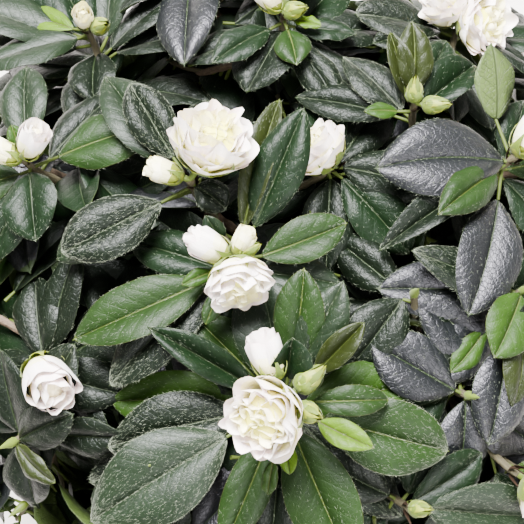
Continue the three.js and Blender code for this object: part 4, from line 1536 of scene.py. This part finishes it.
def relief(tree, shader, height, depth, strength=1.0):
    bump = node(tree, "ShaderNodeBump", Strength=strength, Distance=depth * MM, Height=height)
    tree.links.new(bump.outputs[0], shader.inputs["Normal"])


# Each leaf tone's roughness, the strength of its net of veins, and its shine. Leaves with a strong shine
# have their reflections tinted lavender and the others faintly cool: painted reflections of a cool sky
LEAF_FINISHES = {
    "dark": (0.36, 1.0, 0.17), "deep": (0.38, 0.6, 0.15), "green": (0.44, 0.6, 0.17),
    "fresh": (0.46, 0.6, 0.16), "lime": (0.45, 0.5, 0.16), "olive": (0.36, 0.5, 0.18),
    "grey": (0.42, 0.6, 0.26), "dusk": (0.38, 1.0, 0.5),
}
STRONG_SHINE = 0.3
PAINTED_LAVENDER_REFLECTION = srgb(240, 238, 252)
PAINTED_COOL_REFLECTION = srgb(240, 246, 246)

# The shares of a leaf's relief that its pillows, net of veins and grain have, and the relief's depth
PILLOW_RELIEF = 0.34
NET_RELIEF = 0.2
GRAIN_RELIEF = 0.3
BLADE_RELIEF = 0.55

def vein_pattern(tree):
    """How far from the midrib a place on a leaf is, and the pillows between its side veins."""
    parts = node(tree, "ShaderNodeSeparateXYZ", Vector=on_surface(tree))
    across = maths(tree, "ABSOLUTE", parts.outputs[0])
    slanted = maths(tree, "SUBTRACT", parts.outputs[1], maths(tree, "MULTIPLY", across, VEIN_SLANT))
    phase = maths(tree, "MULTIPLY", slanted, math.pi / VEIN_SPACING)
    return across, maths(tree, "POWER", maths(tree, "ABSOLUTE", maths(tree, "SINE", phase)), 0.45)


def blade_material(name, colour, roughness, net, shine):
    """A leaf's upper face: pillows between side veins, a fine net of veins, and a hairy grain."""
    material, tree, shader = finish_nodes(name, colour, roughness)
    pillow = vein_pattern(tree)[1]
    cells = node(tree, "ShaderNodeTexVoronoi", Vector=on_surface(tree, 1.0, 0.8), Scale=0.6)
    cells.feature = "DISTANCE_TO_EDGE"
    web = node(tree, "ShaderNodeMapRange", Value=cells.outputs[0], From_Max=0.11).outputs[0]
    grain = noise_of(tree, on_surface(tree, 3.4, 0.75), 1.0)
    soft = noise_of(tree, on_surface(tree, 0.14, 0.1), 1.0)
    height = maths(tree, "MULTIPLY", pillow, PILLOW_RELIEF)
    height = maths(tree, "ADD", height, maths(tree, "MULTIPLY", web, NET_RELIEF * net))
    height = maths(tree, "ADD", height, maths(tree, "MULTIPLY", grain, GRAIN_RELIEF))
    relief(tree, shader, height, BLADE_RELIEF, 0.7)
    spread_roughness(tree, shader, grain, roughness - 0.1, roughness + 0.14)
    pattern = maths(tree, "MULTIPLY", soft, faded(tree, web, 0.35))
    veins = node(tree, "ShaderNodeMapRange", Value=pillow, From_Min=0.25, From_Max=0.6).outputs[0]
    pattern = maths(tree, "MULTIPLY", pattern, faded(tree, veins, 0.5))
    tint(tree, shader, pattern, shaded(colour, 1.5), shaded(colour, 0.54))
    shader.inputs["Specular IOR Level"].default_value = shine * 0.88
    # The tint of the reflections is painted sky colour: lavender on the shiniest leaves, faintly cool on
    # the rest
    gloss = PAINTED_LAVENDER_REFLECTION if shine > STRONG_SHINE else PAINTED_COOL_REFLECTION
    shader.inputs["Specular Tint"].default_value = (*gloss, 1)
    shader.inputs["Coat Weight"].default_value = 0.02
    shader.inputs["Coat Roughness"].default_value = 0.3
    return material


def underside_material(colour):
    """A leaf's underside: paler, with its midrib, side veins and net of veins darker."""
    material, tree, shader = finish_nodes("leaf_underside", colour, 0.62)
    cells = node(tree, "ShaderNodeTexVoronoi", Vector=on_surface(tree, 1.0, 0.8), Scale=0.66)
    cells.feature = "DISTANCE_TO_EDGE"
    web = node(tree, "ShaderNodeMapRange", Value=cells.outputs[0], From_Max=0.07).outputs[0]
    across, pillow = vein_pattern(tree)
    rib = node(tree, "ShaderNodeMapRange", Value=across, From_Min=0.2, From_Max=0.55).outputs[0]
    side = node(tree, "ShaderNodeMapRange", Value=pillow, From_Min=0.1, From_Max=0.4).outputs[0]
    veins = maths(tree, "MULTIPLY", rib, faded(tree, side, 0.6))
    pattern = maths(tree, "MULTIPLY", faded(tree, web, 0.45), veins)
    tint(tree, shader, pattern, shaded(colour, 0.6), colour)
    relief(tree, shader, pattern, 0.3)
    return material


def plain_material(name, colour, roughness, depth, scale=900.0):
    """One colour with a fine grain in its relief and gloss."""
    material, tree, shader = finish_nodes(name, colour, roughness)
    grain = noise_of(tree, in_space(tree), scale)
    relief(tree, shader, grain, depth)
    spread_roughness(tree, shader, grain, roughness - 0.08, roughness + 0.1)
    shader.inputs["Specular IOR Level"].default_value = 0.15
    return material


def petal_material(name, colour, cast=PALE_BLUSH, glow=0.3):
    """A petal: soft, a little see-through to light, with fine lengthwise veins and faint clouds."""
    material, tree, shader = finish_nodes(name, colour, 0.55)
    veins = noise_of(tree, on_surface(tree, 1.6, 0.12), 1.0)
    cloud = noise_of(tree, in_space(tree), 130.0, 3.0)
    part = node(tree, "ShaderNodeMapRange", Value=cloud, From_Min=0.44, From_Max=0.64).outputs[0]
    tint(tree, shader, part, colour, np.array(colour) * np.array(cast))
    relief(tree, shader, veins, 0.22)
    spread_roughness(tree, shader, veins, 0.45, 0.65)
    shader.inputs["Subsurface Weight"].default_value = glow
    shader.inputs["Subsurface Radius"].default_value = (1.0, 0.9, 0.7)
    shader.inputs["Subsurface Scale"].default_value = 4 * MM
    shader.inputs["Sheen Weight"].default_value = 0.1
    return material


def bark_material(name, dark, light):
    """Bark: dark furrows and lighter flakes drawn out along the limb, with fine specks."""
    material, tree, shader = finish_nodes(name, light, 0.8)
    flakes = noise_of(tree, on_surface(tree, 0.9, 0.22), 1.0, 6.0)
    specks = noise_of(tree, in_space(tree), 700.0, 4.0)
    pattern = maths(tree, "MULTIPLY", maths(tree, "ADD", flakes, specks), 0.5)
    part = node(tree, "ShaderNodeMapRange", Value=pattern, From_Min=0.35, From_Max=0.65).outputs[0]
    tint(tree, shader, part, dark, light)
    relief(tree, shader, pattern, 0.8)
    spread_roughness(tree, shader, specks, 0.7, 0.95)
    return material


def clay_material(colour):
    """Fired clay: fine pores, faint turning marks, and pale bloom from the water in it."""
    material, tree, shader = finish_nodes("clay", colour, 0.85)
    places = in_space(tree)
    pores = noise_of(tree, places, 1400.0, 5.0)
    cloud = noise_of(tree, places, 28.0, 5.0)
    rings = node(tree, "ShaderNodeTexWave", Vector=places, Scale=90.0, Distortion=1.2)
    rings.bands_direction = "Z"
    height = maths(tree, "ADD", pores, maths(tree, "MULTIPLY", rings.outputs[1], 0.35))
    relief(tree, shader, height, 0.35)
    bloom = node(tree, "ShaderNodeMapRange", Value=cloud, From_Min=0.45, From_Max=0.75).outputs[0]
    tint(tree, shader, bloom, colour, mix(np.array(colour), np.array(srgb(168, 128, 104)), 0.36))
    spread_roughness(tree, shader, pores, 0.75, 0.95)
    return material


def compost_material(colour):
    """Moist compost: dark and light crumbs among fibres."""
    material, tree, shader = finish_nodes("compost", colour, 0.95)
    places = in_space(tree)
    crumbs = noise_of(tree, places, 420.0, 6.0)
    fibres = node(tree, "ShaderNodeTexVoronoi", Vector=places, Scale=330.0).outputs[0]
    tint(tree, shader, crumbs, shaded(colour, 0.35), shaded(colour, 2.1))
    relief(tree, shader, maths(tree, "ADD", crumbs, fibres), 1.6)
    return material


def colour_property(name, description, colour):
    return FloatVectorProperty(name=name, description=description, size=3, subtype="COLOR", min=0, max=1,
                               default=colour)


def tone_property(label, colour):
    return colour_property(label, f"Base colour of {label.lower()} leaves", colour)


class AzaleaPotSettings(bpy.types.PropertyGroup):
    """Sizes and colours of the pot and what is in it."""
    clay: colour_property("Clay", "Colour of the fired clay", srgb(106, 50, 30))
    compost: colour_property("Compost", "Colour of the moist compost", srgb(52, 38, 28))
    crumb: FloatProperty(name="Crumb", description="Height of the compost's crumbs", unit="LENGTH",
                         min=0, default=1.3 * MM)


class AzaleaLimbSettings(bpy.types.PropertyGroup):
    """Colours of the bark."""
    bark: colour_property("Bark", "Colour of the ridges of the bark", srgb(128, 108, 86))
    furrow: colour_property("Furrows", "Colour deep in the bark", srgb(62, 48, 37))
    shaft: colour_property("Young stem", "Colour of leaf stalks and young stems", srgb(62, 74, 29))


class AzaleaLeafSettings(bpy.types.PropertyGroup):
    """Colours of the leaves, and the seed of their small differences."""
    # The dark, deep and dusk tones are partly the leaves' own colour and partly painted shade; dusk leaves
    # also take the painted lavender reflection
    dark: tone_property("Dark", srgb(7, 13, 6))
    deep: tone_property("Deep", srgb(8, 20, 7))
    green: tone_property("Green", srgb(18, 34, 8))
    fresh: tone_property("Fresh", srgb(29, 50, 9))
    lime: tone_property("Lime", srgb(58, 82, 9))
    olive: tone_property("Olive", srgb(22, 28, 6))
    grey: tone_property("Grey", srgb(13, 24, 10))
    dusk: tone_property("Dusk", srgb(8, 11, 11))
    under: tone_property("Underside", srgb(58, 76, 26))
    rib: colour_property("Midrib", "Colour of the midrib", srgb(52, 62, 22))
    margin: colour_property("Margin", "Colour of the thin margin", srgb(46, 52, 24))
    # The dark midrib and margin are shaded copies of the others: partly their own colour, partly painted
    # shade
    rib_dark: colour_property("Midrib, dark", "Colour of a dark leaf's midrib", srgb(26, 36, 18))
    margin_dark: colour_property("Margin, dark", "Colour of a dark leaf's margin", srgb(30, 38, 24))
    hair: colour_property("Hair", "Colour of the short hairs", srgb(132, 140, 122))
    seed: IntProperty(name="Seed", description="Seed of the leaves' small differences", default=7)


class AzaleaFlowerSettings(bpy.types.PropertyGroup):
    """Colours of the flowers and buds."""
    petal: colour_property("Petal", "Colour of a petal's lip", srgb(255, 247, 242))
    # The warm and depth colours are partly the flower's own throat and partly painted light, a warm glow
    # where its depths lie in shade
    warm: colour_property("Warm", "Colour of a petal's middle", srgb(255, 248, 208))
    depth: colour_property("Depth", "Colour deep in the flower", srgb(228, 224, 104))
    cream: colour_property("Cream", "Colour of an opening bud", srgb(236, 232, 172))
    scale: colour_property("Scale", "Colour of the bud scales", srgb(78, 96, 4))
    edge: colour_property("Scale edge", "Colour of the paler scales", srgb(116, 126, 10))
    husk: colour_property("Husk", "Colour of the dry scales", srgb(34, 23, 14))


class AzaleaSettings(bpy.types.PropertyGroup):
    """Everything that can be changed on the plant."""
    pot: PointerProperty(type=AzaleaPotSettings)
    limbs: PointerProperty(type=AzaleaLimbSettings)
    leaves: PointerProperty(type=AzaleaLeafSettings)
    flowers: PointerProperty(type=AzaleaFlowerSettings)


PLANT = {}


def settings():
    return bpy.context.scene.azalea


def grown():
    """The trunk's line, boughs, shoots and twigs, grown once."""
    if not PLANT:
        trunk = make_trunk_line()
        boughs = make_boughs(trunk)
        shoots = make_shoots()
        PLANT.update(trunk=trunk, boughs=boughs, shoots=shoots, twigs=grow_twigs(boughs, shoots))
    return PLANT


def place_piece(piece, slot, *nodes):
    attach(piece, "root")
    if nodes:
        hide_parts(*nodes)


def masses():
    return [f"foliage_{bough.name}" for bough in grown()["boughs"]]


class AZALEA_OT_pot(bpy.types.Operator):
    """Turns the clay pot, with its rim band and drain holes"""
    bl_idname = "azalea.pot"
    bl_label = "Pot"

    def execute(self, context):
        band_foot = POT_HEIGHT - BAND_HEIGHT
        wall = inner_radius(band_foot) + POT_WALL
        top = inner_radius(POT_HEIGHT)

        def rounded(corner, start, end, size=POT_EDGE):
            """Three points that round a corner of the profile."""
            corner, start, end = (np.array(p, float) for p in (corner, start, end))
            first, last = corner + unit(start - corner) * size, corner + unit(end - corner) * size
            return [tuple(first), tuple((first + last + corner * 2) / 4), tuple(last)]

        corners = [
            (0, 0), (POT_BASE_RADIUS, 0), (wall, band_foot), (wall + BAND_STEP, band_foot),
            (POT_RIM_RADIUS, POT_HEIGHT), (top, POT_HEIGHT), (inner_radius(POT_FLOOR), POT_FLOOR),
            (0, POT_FLOOR),
        ]
        profile = [corners[0]]
        for before, corner, after in zip(corners, corners[1:], corners[2:]):
            profile += rounded(corner, before, after)
        profile.append(corners[-1])
        clay = clay_material(tuple(settings().pot.clay))
        pot = turned_mesh("clay_pot", profile, POT_STEPS, clay)
        for i in range(DRAIN_COUNT):
            angle = (i + 0.5) / DRAIN_COUNT * 2 * math.pi
            place = (math.cos(angle) * DRAIN_CIRCLE * MM, math.sin(angle) * DRAIN_CIRCLE * MM, 0)
            bpy.ops.mesh.primitive_cylinder_add(vertices=24, radius=DRAIN_RADIUS * MM,
                                                depth=POT_FLOOR * 3 * MM, location=place)
            drill = bpy.context.object
            cut = pot.modifiers.new("drain", "BOOLEAN")
            cut.object = drill
            bpy.context.view_layer.objects.active = pot
            bpy.ops.object.modifier_apply(modifier=cut.name)
            bpy.data.objects.remove(drill)
        place_piece(pot, "clay", "pot")
        return {"FINISHED"}


class AZALEA_OT_compost(bpy.types.Operator):
    """Fills the pot with crumbly compost"""
    bl_idname = "azalea.compost"
    bl_label = "Compost"

    def execute(self, context):
        crumb = settings().pot.crumb / MM
        foot = POT_FLOOR + CLEARANCE
        top = GROUND - CLEARANCE
        rings = [inner_radius(top) - COMPOST_GAP - k * COMPOST_RING_STEP for k in range(COMPOST_RINGS)]
        shoulder = top - COMPOST_SHOULDER
        profile = [(0, foot), (inner_radius(foot) - COMPOST_GAP, foot),
                   (inner_radius(shoulder) - COMPOST_GAP, shoulder)]
        profile += [(r, top - COMPOST_FALL * min(r / COMPOST_FALL_RADIUS, 1) ** 2)
                    for r in rings if r > COMPOST_RING_STEP / 2]
        profile.append((0, top))
        soil = compost_material(tuple(settings().pot.compost))
        compost = turned_mesh("compost_fill", profile, COMPOST_STEPS, soil)
        for vertex in compost.data.vertices:
            flat = math.hypot(vertex.co.x, vertex.co.y) / MM
            if vertex.co.z / MM > top - CRUMB_LAYER and flat > SMOOTH_RADIUS:
                coarse, fine = (vertex.co * scale for scale in CRUMB_SCALES)
                rough = noise.fractal(coarse, 0.8, 2.0, 4) + noise.noise(fine) * 0.6
                rough = max(min(rough, CRUMB_LIMIT), -CRUMB_LIMIT)
                vertex.co.z += rough * crumb * MM * min((flat - SMOOTH_RADIUS) / SMOOTH_EDGE, 1)
        place_piece(compost, "compost", "compost")
        return {"FINISHED"}


class AZALEA_OT_limbs(bpy.types.Operator):
    """Models the trunk and boughs with their bark"""
    bl_idname = "azalea.limbs"
    bl_label = "Trunk and boughs"

    def execute(self, context):
        plant = grown()
        limbs = settings().limbs
        gather = Gatherer([bark_material("bark", tuple(limbs.furrow), tuple(limbs.bark))])
        add_limbs(gather, plant["trunk"], plant["boughs"])
        piece = gather.make("trunk_and_boughs")
        names = [f"bough_{bough.name}" for bough in plant["boughs"]]
        place_piece(piece, "bark", "trunk", *names)
        return {"FINISHED"}


class AZALEA_OT_leaves(bpy.types.Operator):
    """Grows the leaves of every shoot, with the finer twigs that bear some of them"""
    bl_idname = "azalea.leaves"
    bl_label = "Leaves"

    def execute(self, context):
        plant = grown()
        colours = settings().leaves
        materials = [blade_material(f"leaf_{tone}", tuple(getattr(colours, tone)), *LEAF_FINISHES[tone])
                     for tone in LEAF_TONES]
        materials += [
            plain_material("leaf_midrib", tuple(colours.rib), 0.5, 0.1),
            plain_material("leaf_margin", tuple(colours.margin), 0.5, 0.1),
            underside_material(tuple(colours.under)),
            plain_material("leaf_stalk", tuple(settings().limbs.shaft), 0.55, 0.1),
            plain_material("leaf_midrib_dark", tuple(colours.rib_dark), 0.5, 0.1),
            plain_material("leaf_margin_dark", tuple(colours.margin_dark), 0.5, 0.1),
        ]
        groups = {name: Gatherer(materials) for name in ("facing", "upper", "lower", "inner")}
        hairs = Gatherer([plain_material("leaf_hair", tuple(colours.hair), 0.5, 0.02)])
        sight = plant["sight"] = Sight()
        add_leaves(plant["shoots"], sight, plant["twigs"], groups, hairs, random.Random(colours.seed))
        for name, gather in groups.items():
            place_piece(gather.make(f"leaves_{name}"), "foliage", *masses())
        place_piece(hairs.make("leaf_hairs"), "foliage")
        return {"FINISHED"}


class AZALEA_OT_twigs(bpy.types.Operator):
    """Makes the stems and twigs, brown below and green towards their tips"""
    bl_idname = "azalea.twigs"
    bl_label = "Twigs"

    def execute(self, context):
        limbs = settings().limbs
        young = tuple(mix(np.array(limbs.shaft), np.array(limbs.bark), 0.45) * 0.55)
        gather = Gatherer([
            bark_material("twig_bark", tuple(limbs.furrow), shaded(limbs.bark, 0.6)),
            bark_material("twig_young", shaded(young, 0.6), young),
        ])
        plant = grown()
        for number, (line, start, end, shoot) in enumerate(plant["twigs"]):
            def radius(along, turn, start=start, end=end, number=number):
                knots = 0.09 * np.sin(along * 46 + number) + 0.06 * np.sin(turn * 3 + along * 17)
                return mix(start, end, along) * (1 + knots)
            spare = 0 if borne_flowers(shoot, plant["sight"]) else max(shoot.top - 1, 0)
            last = 1 - spare / line.length
            old = OLD_BARK_SHARE if start > SIDE_SHOOT_RADII[0] else YOUNG_BARK_SHARE
            tube(gather, line, radius, 7, 12, 0, (0.0, old * last))
            tube(gather, line, radius, 7, 8, 1, (old * last, last))
        place_piece(gather.make("twigs"), "bark", *masses())
        return {"FINISHED"}


class AZALEA_OT_flowers(bpy.types.Operator):
    """Makes the double flowers, the opening buds and the scaly green buds"""
    bl_idname = "azalea.flowers"
    bl_label = "Flowers and buds"

    def execute(self, context):
        colours = settings().flowers
        materials = [
            petal_material("petal", tuple(colours.petal)),
            petal_material("petal_warm", tuple(colours.warm), GREEN_DEPTH),
            petal_material("petal_depth", tuple(colours.depth), GREEN_DEPTH),
            petal_material("petal_cream", tuple(colours.cream)),
            petal_material("bud_scale", tuple(colours.scale), GREEN_DEPTH, 0.1),
            petal_material("bud_scale_edge", tuple(colours.edge), GREEN_DEPTH, 0.1),
            plain_material("dry_husk", tuple(colours.husk), 0.7, 0.2),
        ]
        blossom, buds = Gatherer(materials), Gatherer(materials)
        plant = grown()
        draw = random.Random(settings().leaves.seed + 1)
        add_flowers(plant["shoots"], plant["sight"], blossom, buds, draw)
        place_piece(blossom.make("double_flowers"), "foliage")
        place_piece(buds.make("buds"), "foliage")
        return {"FINISHED"}


def soft_lamp(name, place, size, power, colour):
    lamp = bpy.data.lights.new(name, "AREA")
    lamp.shape = "DISK"
    lamp.size = size
    lamp.energy = power
    lamp.color = colour
    made = link_object(name, lamp)
    made.location = place
    made.rotation_euler = (Vector(LAMP_TARGET) - Vector(place)).to_track_quat("-Z", "Y").to_euler()


class AZALEA_OT_stage(bpy.types.Operator):
    """Sets the pale floor, the soft light and the camera"""
    bl_idname = "azalea.stage"
    bl_label = "Floor, light and camera"

    def execute(self, context):
        scene = bpy.context.scene
        mesh = bpy.data.meshes.new("floor")
        corners = [(x * FLOOR_HALF_WIDTH, y * FLOOR_HALF_WIDTH, 0)
                   for x, y in ((-1, -1), (1, -1), (1, 1), (-1, 1))]
        mesh.from_pydata(corners, [], [(0, 1, 2, 3)])
        mesh.materials.append(plain_material("floor", srgb(226, 220, 218), 0.7, 0.05, 60.0))
        floor = link_object("floor", mesh)
        world = bpy.data.worlds.new("soft_room")
        world.use_nodes = True
        background = world.node_tree.nodes["Background"]
        background.inputs["Color"].default_value = (*srgb(240, 237, 233), 1)
        background.inputs["Strength"].default_value = ROOM_LIGHT
        scene.world = world
        for name, values in LAMPS.items():
            soft_lamp(name, *values)
        camera = bpy.data.cameras.new("camera")
        camera.sensor_width = SENSOR_WIDTH
        camera.lens = SENSOR_WIDTH * VIEW_DISTANCE / VIEW_WIDTH
        camera.clip_start = 0.01
        made = link_object("camera", camera)
        made.location = Vector((VIEW_TARGET + VIEW_BACK * VIEW_DISTANCE) * MM)
        made.rotation_euler = (math.pi / 2 - VIEW_ELEVATION, 0, 0)
        scene.camera = made
        return {"FINISHED"}


STEPS = (AZALEA_OT_stage, AZALEA_OT_pot, AZALEA_OT_compost, AZALEA_OT_limbs, AZALEA_OT_leaves,
         AZALEA_OT_twigs, AZALEA_OT_flowers)
GROUPS = (AzaleaPotSettings, AzaleaLimbSettings, AzaleaLeafSettings, AzaleaFlowerSettings, AzaleaSettings)


class VIEW3D_PT_azalea(bpy.types.Panel):
    """Lists the steps that make the plant, in their order"""
    bl_label = "Azalea"
    bl_space_type = "VIEW_3D"
    bl_region_type = "UI"
    bl_category = "Azalea"

    def draw(self, context):
        for step in STEPS:
            self.layout.operator(step.bl_idname)
        for group in ("pot", "limbs", "leaves", "flowers"):
            box = self.layout.box()
            box.label(text=group.capitalize())
            values = getattr(context.scene.azalea, group)
            for name in values.__annotations__:
                box.prop(values, name)


def register():
    for part in (*GROUPS, *STEPS, VIEW3D_PT_azalea):
        bpy.utils.register_class(part)
    bpy.types.Scene.azalea = PointerProperty(type=AzaleaSettings)


def unregister():
    del bpy.types.Scene.azalea
    for part in reversed((*GROUPS, *STEPS, VIEW3D_PT_azalea)):
        bpy.utils.unregister_class(part)


def main():
    register()
    for step in STEPS:
        group, name = step.bl_idname.split(".")
        getattr(getattr(bpy.ops, group), name)()


if __name__ == "__main__":
    main()
